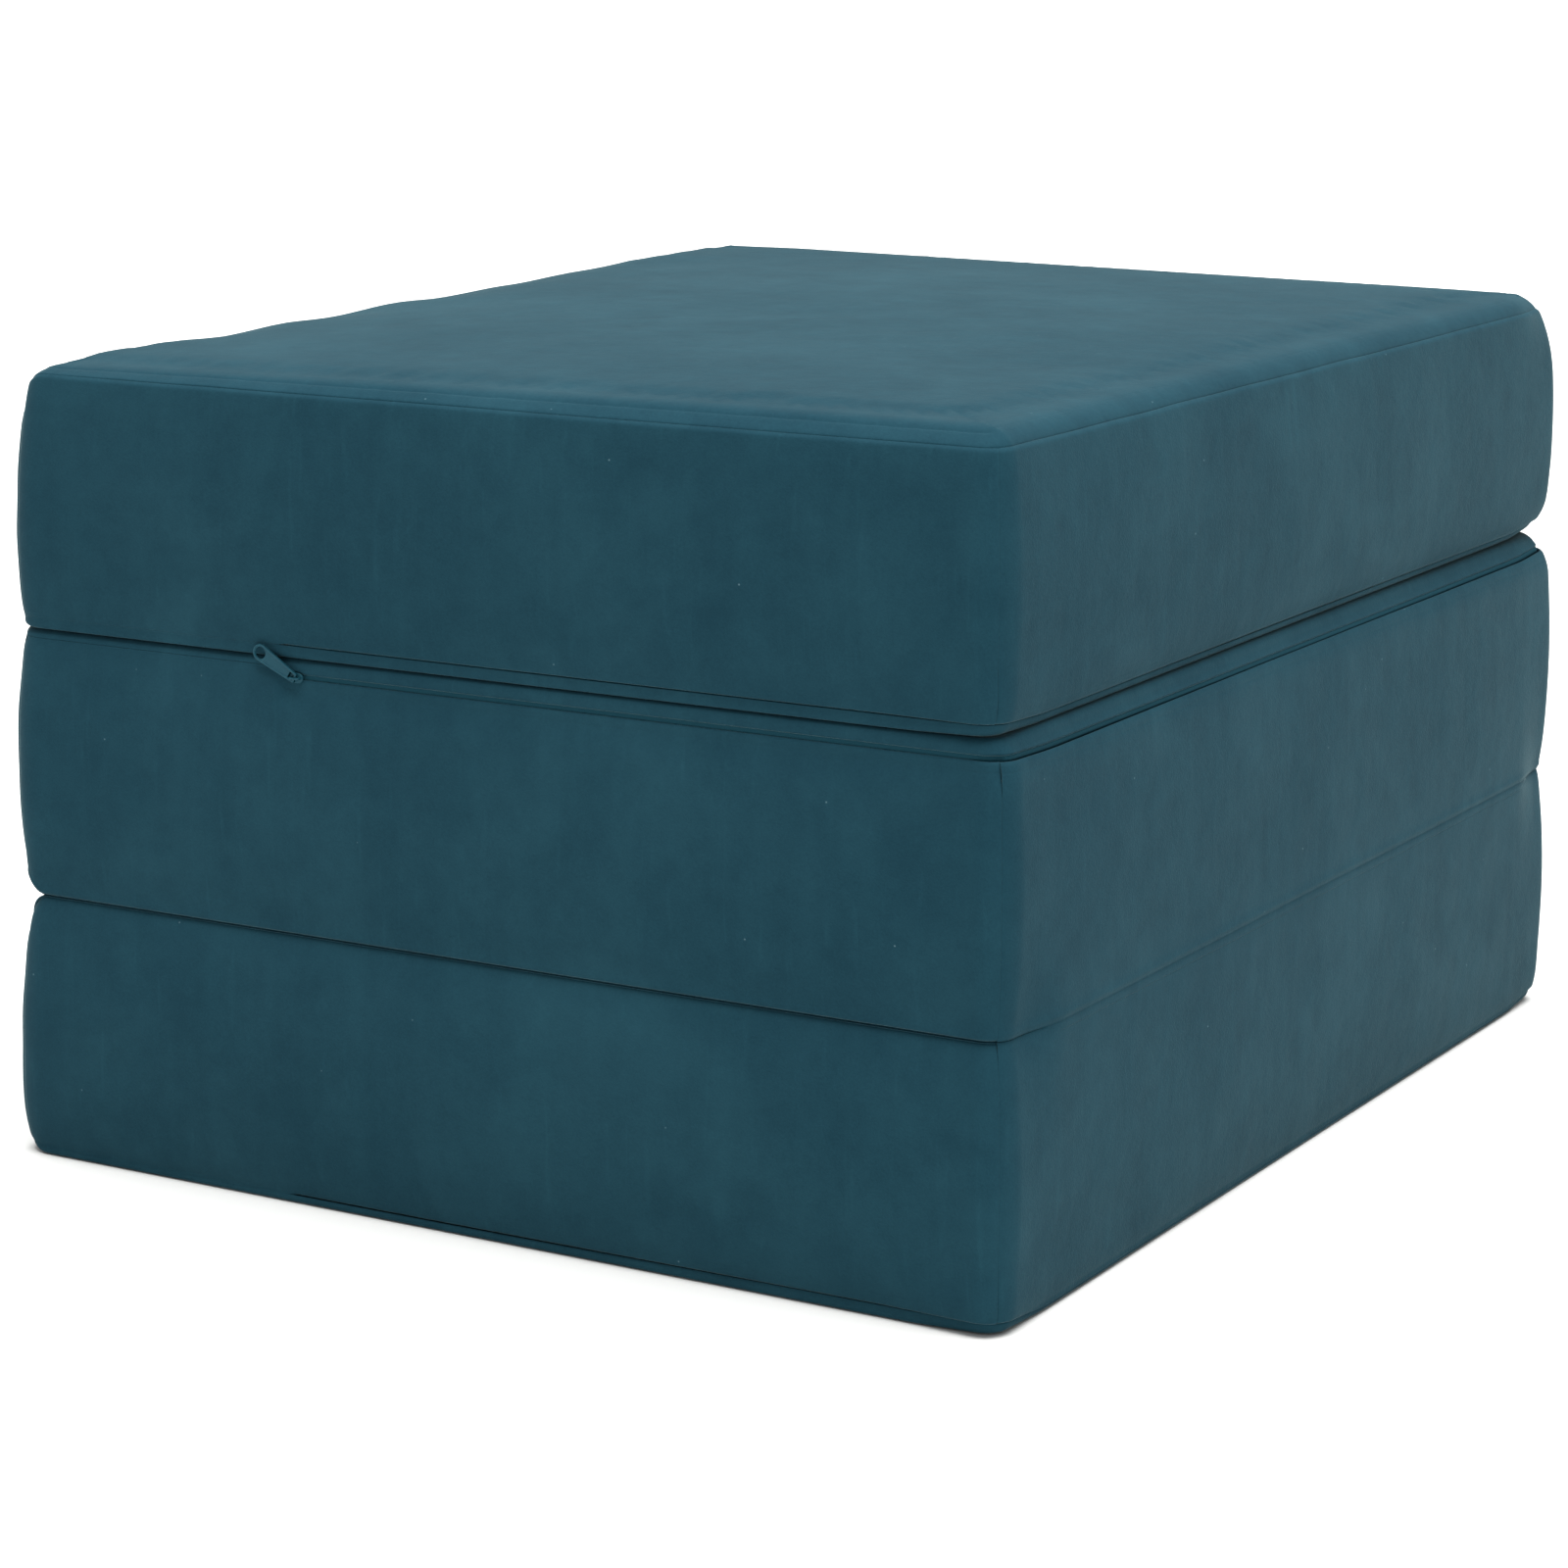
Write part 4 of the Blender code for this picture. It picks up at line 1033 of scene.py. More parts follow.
@shared
def brushed_velvet(look):
    """Polyester velvet, woven, sheared and brushed.

    Cut fibres stand on a woven ground, so it is dark and matt face on and pale at a
    grazing angle. Where the pile was brushed or pressed it is lighter, in soft patches
    and streaks, and single long fibres and lint show as specks.
    """
    material, tree, shader, place = new_material("brushed_velvet", {
        "IOR": 1.45, "Specular IOR Level": 0.1, "Sheen Weight": look.sheen,
        "Sheen Roughness": 0.27, "Sheen Tint": linear("#DAF9F8")})

    # Patches of brushed pile, about 150 mm, with frayed edges
    patches = add_node(tree, "ShaderNodeTexNoise", {
        "Scale": per_mm(150), "Detail": 5, "Roughness": 0.62, "Distortion": 0.4},
        {"Vector": place})
    # Streaks from the roll the cloth came on, 16 mm wide and 230 mm long, up the sides
    stretched = add_node(tree, "ShaderNodeMapping", {
        "Scale": (per_mm(16), per_mm(16), per_mm(230))}, {"Vector": place})
    streaks = add_node(tree, "ShaderNodeTexNoise", {
        "Scale": 1.0, "Detail": 3, "Roughness": 0.55}, {"Vector": stretched.outputs[0]})
    # Tufts of pile. Real ones are 0.3 mm, drawn 1.3 mm so that they show
    tufts = add_node(tree, "ShaderNodeTexNoise", {
        "Scale": per_mm(1.3), "Detail": 2, "Roughness": 0.6}, {"Vector": place})

    soft = add_node(tree, "ShaderNodeMapRange", {
        "From Min": 0.38, "From Max": 0.72, "To Min": 0.0, "To Max": 0.45},
        {"Value": patches.outputs["Fac"]}, interpolation_type="SMOOTHSTEP")
    streaked = add_node(tree, "ShaderNodeMath", {1: 0.45}, {0: streaks.outputs["Fac"]},
                        operation="MULTIPLY")
    # Marks of a hand or brush: thin upright strokes, 6 by 70 mm, few and faint
    upright = add_node(tree, "ShaderNodeMapping", {
        "Scale": (per_mm(6), per_mm(6), per_mm(70))}, {"Vector": place})
    strokes = add_node(tree, "ShaderNodeTexNoise", {
        "Scale": 1.0, "Detail": 4, "Roughness": 0.6, "Distortion": 0.3},
        {"Vector": upright.outputs[0]})
    stroked = add_node(tree, "ShaderNodeMapRange", {
        "From Min": 0.56, "From Max": 0.8, "To Min": 0.0, "To Max": 0.35},
        {"Value": strokes.outputs["Fac"]}, interpolation_type="SMOOTHSTEP")
    lifted = add_node(tree, "ShaderNodeMath", None, {
        0: streaked.outputs[0], 1: stroked.outputs[0]}, operation="ADD")
    brushed = add_node(tree, "ShaderNodeMath", None, {
        0: soft.outputs[0], 1: lifted.outputs[0]}, operation="ADD")
    grain = add_node(tree, "ShaderNodeMapRange", {
        "From Min": 0.3, "From Max": 0.7, "To Min": -0.16, "To Max": 0.16},
        {"Value": tufts.outputs["Fac"]})
    # Small hollows where the pile was crushed, about 24 mm, with frayed edges
    crushed = add_node(tree, "ShaderNodeTexNoise", {
        "Scale": per_mm(24), "Detail": 6, "Roughness": 0.74}, {"Vector": place})
    mottled = add_node(tree, "ShaderNodeMapRange", {
        "From Min": 0.3, "From Max": 0.7, "To Min": -0.22, "To Max": 0.24},
        {"Value": crushed.outputs["Fac"]})
    uneven = add_node(tree, "ShaderNodeMath", None, {
        0: mottled.outputs[0], 1: grain.outputs[0]}, operation="ADD")
    amount = add_node(tree, "ShaderNodeMath", None, {
        0: brushed.outputs[0], 1: uneven.outputs[0]}, operation="ADD", use_clamp=True)
    pile = add_node(tree, "ShaderNodeMix", {
        6: linear(look.pile), 7: linear(look.pile_brushed)},
        {0: amount.outputs[0]}, data_type="RGBA")

    # Lint and long fibres: specks under 1 mm, about one in 26 mm
    lint = add_node(tree, "ShaderNodeTexVoronoi", {
        "Scale": per_mm(26), "Randomness": 1.0}, {"Vector": place})
    speck = add_node(tree, "ShaderNodeMapRange", {
        "From Min": 0.008, "From Max": 0.027, "To Min": 0.38, "To Max": 0.0},
        {"Value": lint.outputs["Distance"]})
    specked = add_node(tree, "ShaderNodeMix", {7: linear("#7FA0AA")}, {
        0: speck.outputs[0], 6: pile.outputs[2]}, data_type="RGBA")

    matt = add_node(tree, "ShaderNodeMapRange", {
        "From Min": 0.3, "From Max": 0.8, "To Min": 0.92, "To Max": 0.78},
        {"Value": patches.outputs["Fac"]})
    hollows = add_node(tree, "ShaderNodeBump", {"Strength": 0.35, "Distance": mm(1.2)},
                       {"Height": crushed.outputs["Fac"]})
    nap = add_node(tree, "ShaderNodeBump", {"Strength": 0.5, "Distance": mm(0.3)},
                   {"Height": tufts.outputs["Fac"], "Normal": hollows.outputs[0]})
    tree.links.new(specked.outputs[2], shader.inputs["Base Color"])
    tree.links.new(matt.outputs[0], shader.inputs["Roughness"])
    tree.links.new(nap.outputs[0], shader.inputs["Normal"])
    return material


@shared
def open_cell_foam(look):
    """Polyurethane foam, foamed in a block and cut with a hot wire.

    Pores of about 1.6 mm give it a dry, crumbly face without any gloss. Its colour is darker
    towards each pore's middle: painted shade in the pores.
    """
    material, tree, shader, place = new_material("open_cell_foam", {
        "IOR": 1.45, "Specular IOR Level": 0.1, "Roughness": 0.95})
    pores = add_node(tree, "ShaderNodeTexVoronoi", {"Scale": per_mm(1.6)},
                     {"Vector": place}, feature="F1")
    ageing = add_node(tree, "ShaderNodeTexNoise", {"Scale": per_mm(90), "Detail": 3},
                      {"Vector": place})
    tone = add_node(tree, "ShaderNodeMix", {
        6: linear(look.foam), 7: linear("#D9CB9E")},
        {0: ageing.outputs["Fac"]}, data_type="RGBA")
    pore_shade = add_node(tree, "ShaderNodeMapRange", {
        # Painted shade: the colour darkens towards each pore's middle, where the bump sinks into a
        # pit
        "From Max": 0.6, "To Min": 0.72, "To Max": 1.0}, {"Value": pores.outputs["Distance"]})
    shaded = add_node(tree, "ShaderNodeMix", {0: 1.0}, {
        6: tone.outputs[2], 7: pore_shade.outputs[0]}, data_type="RGBA", blend_type="MULTIPLY")
    bump = add_node(tree, "ShaderNodeBump", {"Strength": 0.6, "Distance": mm(0.5)},
                    {"Height": pores.outputs["Distance"]})
    tree.links.new(shaded.outputs[2], shader.inputs["Base Color"])
    tree.links.new(bump.outputs[0], shader.inputs["Normal"])
    return material


@shared
def woven_tape(look):
    """Polyester zip tape, woven in a herringbone and dyed.

    Ribs 0.9 mm apart run across it, and it has a low, dry shine.
    """
    material, tree, shader, place = new_material("woven_tape", {
        "IOR": 1.5, "Specular IOR Level": 0.08, "Roughness": 0.9})
    ribs = add_node(tree, "ShaderNodeTexWave", {
        "Scale": slanting(0.9), "Distortion": 0.5, "Detail": 2},
        {"Vector": place}, bands_direction="DIAGONAL")
    tone = add_node(tree, "ShaderNodeMix", {
        6: linear(look.tape), 7: linear("#1A434F")},
        {0: ribs.outputs["Fac"]}, data_type="RGBA")
    bump = add_node(tree, "ShaderNodeBump", {"Strength": 0.4, "Distance": mm(0.15)},
                    {"Height": ribs.outputs["Fac"]})
    tree.links.new(tone.outputs[2], shader.inputs["Base Color"])
    tree.links.new(bump.outputs[0], shader.inputs["Normal"])
    return material


@shared
def nylon_coil(look):
    """Nylon monofilament, extruded and coiled hot.

    Smooth, slightly waxy, with a soft highlight along each turn.
    """
    material, tree, shader, place = new_material("nylon_coil", {"IOR": 1.53})
    dye = add_node(tree, "ShaderNodeTexNoise", {"Scale": per_mm(8), "Detail": 2},
                   {"Vector": place})
    tone = add_node(tree, "ShaderNodeMix", {
        6: linear(look.coil), 7: linear("#16485A")},
        {0: dye.outputs["Fac"]}, data_type="RGBA")
    worn = add_node(tree, "ShaderNodeMapRange", {"To Min": 0.32, "To Max": 0.5},
                    {"Value": dye.outputs["Fac"]})
    tree.links.new(tone.outputs[2], shader.inputs["Base Color"])
    tree.links.new(worn.outputs[0], shader.inputs["Roughness"])
    return material


@shared
def enamelled_zinc(look):
    """Zinc alloy, die-cast and baked with coloured enamel.

    The enamel has an even satin gloss, worn paler in fine rubbed spots.
    """
    material, tree, shader, place = new_material("enamelled_zinc", {
        "IOR": 1.5, "Specular IOR Level": 0.14})
    rubbed = add_node(tree, "ShaderNodeTexNoise", {
        "Scale": per_mm(3), "Detail": 4, "Roughness": 0.7}, {"Vector": place})
    spots = add_node(tree, "ShaderNodeMapRange", {
        "From Min": 0.55, "From Max": 0.75, "To Max": 0.5}, {"Value": rubbed.outputs["Fac"]})
    tone = add_node(tree, "ShaderNodeMix", {
        6: linear(look.coating), 7: linear("#2B5865")},
        {0: spots.outputs[0]}, data_type="RGBA")
    gloss = add_node(tree, "ShaderNodeMapRange", {"To Min": 0.36, "To Max": 0.55},
                     {"Value": rubbed.outputs["Fac"]})
    tree.links.new(tone.outputs[2], shader.inputs["Base Color"])
    tree.links.new(gloss.outputs[0], shader.inputs["Roughness"])
    return material


@shared
def spun_thread(look):
    """Polyester thread, spun from three plies and dyed to match the velvet.

    The twist of its plies shows as fine slanting bands.
    """
    material, tree, shader, place = new_material("spun_thread", {
        "Specular IOR Level": 0.1, "Roughness": 0.8})
    plies = add_node(tree, "ShaderNodeTexWave", {
        "Scale": slanting(0.5), "Distortion": 1.0}, {"Vector": place},
        bands_direction="DIAGONAL")
    tone = add_node(tree, "ShaderNodeMix", {
        6: linear(look.thread), 7: linear("#20444F")},
        {0: plies.outputs["Fac"]}, data_type="RGBA")
    tree.links.new(tone.outputs[2], shader.inputs["Base Color"])
    return material


def matt_floor(look):
    """Painted board, rolled in matt white.

    Faint roller marks keep it from being one flat tone.
    """
    material, tree, shader, place = new_material("matt_painted_floor", {
        "Specular IOR Level": 0.2, "Roughness": 0.9})
    roller = add_node(tree, "ShaderNodeTexNoise", {"Scale": per_mm(400), "Detail": 3},
                      {"Vector": place})
    tone = add_node(tree, "ShaderNodeMix", {
        6: linear(look.floor), 7: linear("#E4E4E2")},
        {0: roller.outputs["Fac"]}, data_type="RGBA")
    tree.links.new(tone.outputs[2], shader.inputs["Base Color"])
    return material


# Operators


class SofaBedOperator:
    """What all the piece operators share."""

    bl_options = {"REGISTER", "UNDO"}

    def execute(self, context):
        form = Form(context.scene)
        look = context.scene.sofabed_finish
        for cushion in CUSHIONS:
            self.build(form, look, cushion)
        return {"FINISHED"}


class SOFABED_OT_sleeping_covers(SofaBedOperator, bpy.types.Operator):
    """Sew the sleeping faces, which roll over into the left sides"""

    bl_idname = "sofabed.sleeping_covers"
    bl_label = "Sleeping Covers"

    def build(self, form, look, cushion):
        name = f"{cushion.name}_sleeping_cover"
        inside = Vector((0, 0, form.thickness / 2))
        rows = form.sleeping_cover(cushion)
        obj = grid_object(f"{cushion.name}_velvet_top", rows, form.matrix(cushion), inside, 0)
        relax(obj, form.sewn_down(cushion, rows), mm(CLOTH_REACH))
        thicken(obj, form.c.cloth)
        dress(obj, cushion.body, brushed_velvet(look), "velvet", name)


class SOFABED_OT_side_bands(SofaBedOperator, bpy.types.Operator):
    """Sew the boxing bands of the front, right and back sides"""

    bl_idname = "sofabed.side_bands"
    bl_label = "Side Bands"

    def build(self, form, look, cushion):
        inside = Vector((0, 0, form.thickness / 2))
        for side in ("front", "right", "back"):
            obj = grid_object(f"{cushion.name}_velvet_{side}", form.band(cushion, side),
                              form.matrix(cushion), inside, form.c.cloth)
            dress(obj, cushion.body, brushed_velvet(look), "velvet", f"{cushion.name}_{side}_band")


class SOFABED_OT_base_covers(SofaBedOperator, bpy.types.Operator):
    """Sew the base cloths with their edges wrapped up to the zips"""

    bl_idname = "sofabed.base_covers"
    bl_label = "Base Covers"

    def build(self, form, look, cushion):
        inside = Vector((0, 0, form.thickness / 2))
        obj = grid_object(f"{cushion.name}_velvet_base", form.base_cover(cushion),
                          form.matrix(cushion), inside, form.c.cloth)
        dress(obj, cushion.body, brushed_velvet(look), "velvet", f"{cushion.name}_base_cover")


class SOFABED_OT_foam_cores(SofaBedOperator, bpy.types.Operator):
    """Cut the foam blocks that fill the covers"""

    bl_idname = "sofabed.foam_cores"
    bl_label = "Foam Cores"

    def build(self, form, look, cushion):
        c = form.c
        inset = c.cloth + mm(FOAM_SIDE_GAP)
        low = c.cloth + mm(FOAM_BASE_GAP)
        high = form.thickness - c.cloth - mm(FOAM_TOP_GAPS[0 if cushion.pressed else 1])
        half = Vector((form.half_length - inset, form.half_width - inset, (high - low) / 2))
        radius = mm(FOAM_EDGE)
        cuts = FOAM_CELLS
        steps = [[lerp(-1, 1, k / n) for k in range(n + 1)] for n in cuts]
        verts, index, faces = [], {}, []

        def vertex(key):
            if key not in index:
                spot = Vector(steps[a][key[a]] * half[a] for a in range(3))
                core = Vector(min(max(spot[a], radius - half[a]), half[a] - radius)
                              for a in range(3))
                away = spot - core
                if away.length > 0:
                    spot = core + away.normalized() * radius
                rise = (spot.z + half.z) / (2 * half.z)
                swell = c.side_bulge * 0.72 * (4 * rise * (1 - rise))
                for a in (0, 1):
                    if abs(spot[a]) > half[a] - radius / 2:
                        spot[a] += math.copysign(swell, spot[a])
                if spot.z > half.z - radius and not cushion.pressed:
                    dome = max(1 - (spot.x / form.half_length) ** 2, 0)
                    dome *= max(1 - (spot.y / form.half_width) ** 2, 0)
                    spot.z += c.crown * 0.8 * dome + min(form.left_tilt(spot), 0)
                    spot.z -= mm(2) * ease(-spot.x, mm(180), form.half_length)
                index[key] = len(verts)
                verts.append(form.settle(cushion, spot + Vector((0, 0, low + half.z))))
            return index[key]

        for axis in range(3):
            u, v = [a for a in range(3) if a != axis]
            for end in (0, cuts[axis]):
                for i in range(cuts[u]):
                    for j in range(cuts[v]):
                        keys = []
                        for di, dj in ((0, 0), (1, 0), (1, 1), (0, 1)):
                            key = [0, 0, 0]
                            key[axis], key[u], key[v] = end, i + di, j + dj
                            keys.append(vertex(tuple(key)))
                        outward = (end > 0) != (axis == 1)
                        faces.append(tuple(keys if outward else reversed(keys)))
        obj = mesh_object(f"{cushion.name}_foam_block", verts, faces, form.matrix(cushion))
        smooth = obj.modifiers.new("soft edges", "SUBSURF")
        smooth.levels = smooth.render_levels = 1
        dress(obj, cushion.body, open_cell_foam(look), "foam", f"{cushion.name}_foam_core")


class SOFABED_OT_zip_tapes(SofaBedOperator, bpy.types.Operator):
    """Weave the two tapes behind each slot"""

    bl_idname = "sofabed.zip_tapes"
    bl_label = "Zip Tapes"

    def build(self, form, look, cushion):
        slot = form.z.slot / 2
        line = form.zip_line(cushion, mm(4))
        sections = {
            "band_side": ((slot + mm(1.6), mm(2.9)), (slot + mm(2.2), mm(2.3)),
                          (slot + mm(3.2), mm(1.8)), (mm(6.5), mm(1.5)), (mm(11), mm(1.5))),
            "base_side": ((-mm(4.2), mm(2.9)), (-slot - mm(0.8), mm(1.55)),
                          (-slot * 0.6, mm(1.4)), (slot * 0.5, mm(1.35)),
                          (slot + mm(1.1), mm(1.55))),
        }
        for key, section in sections.items():
            rows = [[form.settle(cushion, point - normal * depth + Vector((0, 0, rise)))
                     for rise, depth in section]
                    for _, _, point, normal in line]
            obj = grid_object(f"{cushion.name}_tape_{key}", rows, form.matrix(cushion),
                              Vector((0, 0, form.zip_level)), mm(0.6))
            dress(obj, cushion.body, woven_tape(look), "zip_tape",
                  f"{cushion.name}_zip_tape_{key}")


class SOFABED_OT_zip_chains(SofaBedOperator, bpy.types.Operator):
    """Coil the meshed turns of the zips"""

    bl_idname = "sofabed.zip_chains"
    bl_label = "Zip Chains"

    def build(self, form, look, cushion):
        solids = Solids()
        pitch = form.z.tooth_pitch
        for k, (side, _, point, normal) in enumerate(form.zip_line(cushion, pitch)):
            if k < 2:  # these turns lie inside the stop
                continue
            along = Vector((-normal.y, normal.x, 0))
            deep = form.z.depth + (0 if side in cushion.open_sides else mm(0.4))
            middle = form.settle(cushion, point - normal * deep + Vector((0, 0, mm(1))))
            lean = 1 if k % 2 else -1
            rings = []
            for rise, size in ((-0.95, 0.5), (-0.6, 0.95), (0.05, 1.0), (0.42, 0.55)):
                height = Vector((0, 0, mm(rise) * lean))
                wide, thick = pitch * 0.46 * size, mm(0.66) * size
                ring = [middle + height + along * wide * a + normal * thick * b
                        for a, b in ((1, 0.35), (0.35, 1), (-0.35, 1), (-1, 0.35),
                                     (-0.6, -1), (0.6, -1))]
                rings.append(ring if lean > 0 else list(reversed(ring)))
            solids.tube(rings)
        obj = solids.object(f"{cushion.name}_coil", form.matrix(cushion))
        dress(obj, cushion.body, nylon_coil(look), "zip_chain", f"{cushion.name}_zip_chain")


class SOFABED_OT_zip_stops(SofaBedOperator, bpy.types.Operator):
    """Crimp the stops that end each chain"""

    bl_idname = "sofabed.zip_stops"
    bl_label = "Zip Stops"

    def build(self, form, look, cushion):
        outer = form.half_width - form.z.depth + mm(0.65)
        for side_y, end in ((1, "closed"), (-1, "open")):
            shape = rounded([(-1.5, -0.5), (-1.5, 0.55), (-0.9, 0.55), (-0.7, 0.3),
                             (0.7, 0.3), (0.9, 0.55), (1.5, 0.55), (1.5, -0.5)], 0.2, 2)
            outline = [(mm(x), mm(y)) for x, y in shape]
            mesh = plate_mesh("stop", [outline], mm(1.9), mm(0.2))
            place = Matrix.Translation((form.zip_start + mm(1), side_y * (outer - mm(0.55)),
                                        form.zip_level))
            upright = Matrix(((0, 0, 1, 0), (0, side_y, 0, 0), (side_y, 0, 0, 0),
                              (0, 0, 0, 1)))
            obj = join_meshes(f"{cushion.name}_stop_{end}", [(mesh, place @ upright)],
                              form.matrix(cushion))
            dress(obj, cushion.body, enamelled_zinc(look), "zip_metal",
                  f"{cushion.name}_zip_{end}_stop")


def slider_place(form, cushion):
    """Slider's frame: X along the zip, Y out of the cloth, at rest beside the closed stop."""
    rest = form.zip_start + mm(STOP_LENGTH + STOP_GAP + SLIDER_HALF)
    spot = Matrix.Translation((rest, form.half_width, form.zip_level))
    return form.matrix(cushion) @ spot


class SOFABED_OT_zip_sliders(SofaBedOperator, bpy.types.Operator):
    """Cast the sliders, with their bails and the channels that close the coils"""

    bl_idname = "sofabed.zip_sliders"
    bl_label = "Zip Sliders"

    def build(self, form, look, cushion):
        # Outline of the top plate, seen from outside, in millimetres
        body = [(4.5, 1.2), (2.6, 2.75), (-1.2, 2.9), (-3.2, 2.3), (-4.5, 1.5),
                (-4.5, -1.5), (-3.2, -2.3), (-1.2, -2.9), (2.6, -2.75), (4.5, -1.2)]
        plate = rounded([(mm(x), mm(y)) for x, y in body], mm(0.9))
        rib = rounded([(mm(3.9), mm(0.5)), (mm(3.9), -mm(0.5)), (-mm(3.9), -mm(0.7)),
                       (-mm(3.9), mm(0.7))], mm(0.4))
        arch = [(-3.45, 0), (-2.35, 0), (-2.35, 2.0), (-1.9, 2.5), (1.9, 2.5),
                (2.35, 2.0), (2.35, 0), (3.45, 0), (3.45, 2.5), (2.5, 3.45),
                (-2.5, 3.45), (-3.45, 2.5)]
        arch = rounded([(mm(x), mm(y)) for x, y in arch], mm(0.35), 3)
        flange = rounded([(mm(2.2), -mm(0.9)), (mm(2.2), mm(0.9)), (-mm(2.2), mm(0.9)),
                          (-mm(2.2), -mm(0.9))], mm(0.5))
        out = Matrix(((1, 0, 0, 0), (0, 0, 1, 0), (0, 1, 0, 0), (0, 0, 0, 1)))

        def lift(height):
            return Matrix.Translation((0, mm(height), 0)) @ out

        parts = [
            (plate_mesh("plate", [plate], mm(PLATE_THICKNESS), mm(0.28)), lift(1.0)),
            (plate_mesh("rib", [rib], mm(0.5), mm(0.15)), lift(1.55)),
            (plate_mesh("bail", [arch], mm(1.25), mm(0.3)),
             Matrix.Translation((0, mm(1.2), 0))),
        ]
        for side in (-1, 1):
            parts.append((plate_mesh("flange", [flange], mm(0.45), mm(0.12)),
                          Matrix.Translation((0, -mm(0.2), side * mm(1.2)))))
        obj = join_meshes(f"{cushion.name}_slider", parts, slider_place(form, cushion))
        dress(obj, f"{cushion.name}_zip_slider", enamelled_zinc(look), "zip_metal",
              f"{cushion.name}_zip_slider")


class SOFABED_OT_zip_pulls(SofaBedOperator, bpy.types.Operator):
    """Stamp the pull tabs with their round eyes and raised rims"""

    bl_idname = "sofabed.zip_pulls"
    bl_label = "Zip Pulls"

    def build(self, form, look, cushion):
        end, radius = mm(0.5), mm(4.85)
        eye = (end - form.z.pull_length + radius, 0)

        def tab(inset):
            """Outline of the tab, tapered towards the slider, that far inside its edge."""
            tip, wide = end - inset, mm(2.9) - inset
            turn = QUARTER + math.asin((radius - mm(2.9)) / (end - eye[0]))
            return ([(tip - mm(0.6), -wide), (tip, -wide * 0.75), (tip, wide * 0.75),
                     (tip - mm(0.6), wide)]
                    + arc(eye, radius - inset, turn - 2 * (turn - QUARTER),
                          2 * math.pi - turn + 2 * (turn - QUARTER), 28))

        slot = rounded([(-mm(0.5), -mm(1.9)), (-mm(0.5), mm(1.9)), (-mm(4.4), mm(2.1)),
                        (-mm(4.4), -mm(2.1))], mm(0.7))
        hole = arc(eye, mm(3.5), 0, 4 * QUARTER, 32)[:-1]
        parts = [
            (plate_mesh("tab", [tab(0), slot, hole], mm(1.0), mm(0.25)), Matrix.Identity(4)),
            (plate_mesh("rim", [tab(0), tab(mm(1.15))], mm(1.7), mm(0.3)),
             Matrix.Identity(4)),
        ]
        flat = Matrix.Rotation(QUARTER, 4, "X")
        lean = Matrix.Rotation(-cushion.pull_lean, 4, "Y")
        pivot = Matrix.Translation((0, mm(PLATE_FOOT + PLATE_THICKNESS + BAIL_OPENING / 2), 0))
        place = slider_place(form, cushion) @ pivot @ lean @ flat
        obj = join_meshes(f"{cushion.name}_pull", parts, place)
        dress(obj, f"{cushion.name}_zip_pull", enamelled_zinc(look), "zip_metal",
              f"{cushion.name}_zip_pull")


class SOFABED_OT_topstitching(SofaBedOperator, bpy.types.Operator):
    """Topstitch the bands beside the zips"""

    bl_idname = "sofabed.topstitching"
    bl_label = "Topstitching"

    def build(self, form, look, cushion):
        solids = Solids()
        pitch = form.z.stitch_pitch
        for side, s, _, _ in form.zip_line(cushion, pitch):
            total = sum(form.side_parts(side))
            if not pitch < s < total - pitch:
                continue
            path = []
            for t in (-0.3, -0.18, 0, 0.18, 0.3):
                path.append(form.band_point(cushion, side, s + t * pitch,
                                            form.z.stitch_inset))
            normal = form.outline(side, s)[1]
            up = Vector((0, 0, 1))
            rings = []
            for point, lift, size in zip(path, (-0.25, -0.09, -0.05, -0.09, -0.25),
                                         (0.6, 1, 1, 1, 0.6)):
                centre = point + normal * mm(lift)
                wide = mm(0.14) * size
                rings.append([centre + (normal * math.cos(a) + up * math.sin(a)) * wide
                              for a in (0, QUARTER, 2 * QUARTER, 3 * QUARTER)])
            solids.tube(rings)
        obj = solids.object(f"{cushion.name}_topstitch", form.matrix(cushion))
        dress(obj, cushion.body, spun_thread(look), "velvet")


class SOFABED_OT_hinge_cloths(bpy.types.Operator):
    """Sew in the two strips that hinge the cushions together"""

    bl_idname = "sofabed.hinge_cloths"
    bl_label = "Hinge Cloths"
    bl_options = {"REGISTER", "UNDO"}

    def execute(self, context):
        form = Form(context.scene)
        look = context.scene.sofabed_finish
        for side, level, low, high, valley, depth in (
                ("right", 1, "bottom", "middle", mm(2.6), mm(0.25)),
                ("left", 2, "middle", "top", form.c.hinge_radius, mm(1.6))):
            self.strip(form, look, side, level, f"{low}_panel", f"{high}_panel", valley,
                       depth)
        return {"FINISHED"}

    def strip(self, form, look, side, level, low_body, high_body, valley, depth):
        centre = level * form.c.pitch - form.c.gap / 2
        first, run, _ = form.side_parts(side)
        if side == "right":
            first += mm(STRIP_END)
            run -= 2 * mm(STRIP_END)
        count = round(run / mm(6))
        reach = valley + mm(STRIP_SEAM)
        rows = []
        for k in range(count + 1):
            point, normal, _, _ = form.outline(side, first + run * k / count)
            row = []
            for height in np.linspace(-reach, reach, 17):
                dip = depth * max(1 - abs(height) / valley, 0.0) ** 1.3
                dip += mm(0.25) if side == "left" else mm(0.12)
                place = Vector((point.x, point.y, centre + height))
                held = form.held_out(point.y) if side == "right" else 0.0
                row.append(place + normal * (held - dip))
            rows.append(row)
        inside = Vector((0, 0, centre))
        obj = grid_object(f"{side}_hinge_strip", rows, Matrix.Identity(4), inside,
                          mm(STRIP_CLOTH))
        obj.data.materials.append(brushed_velvet(look))
        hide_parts(f"{side}_hinge_cloth")

        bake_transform(obj)


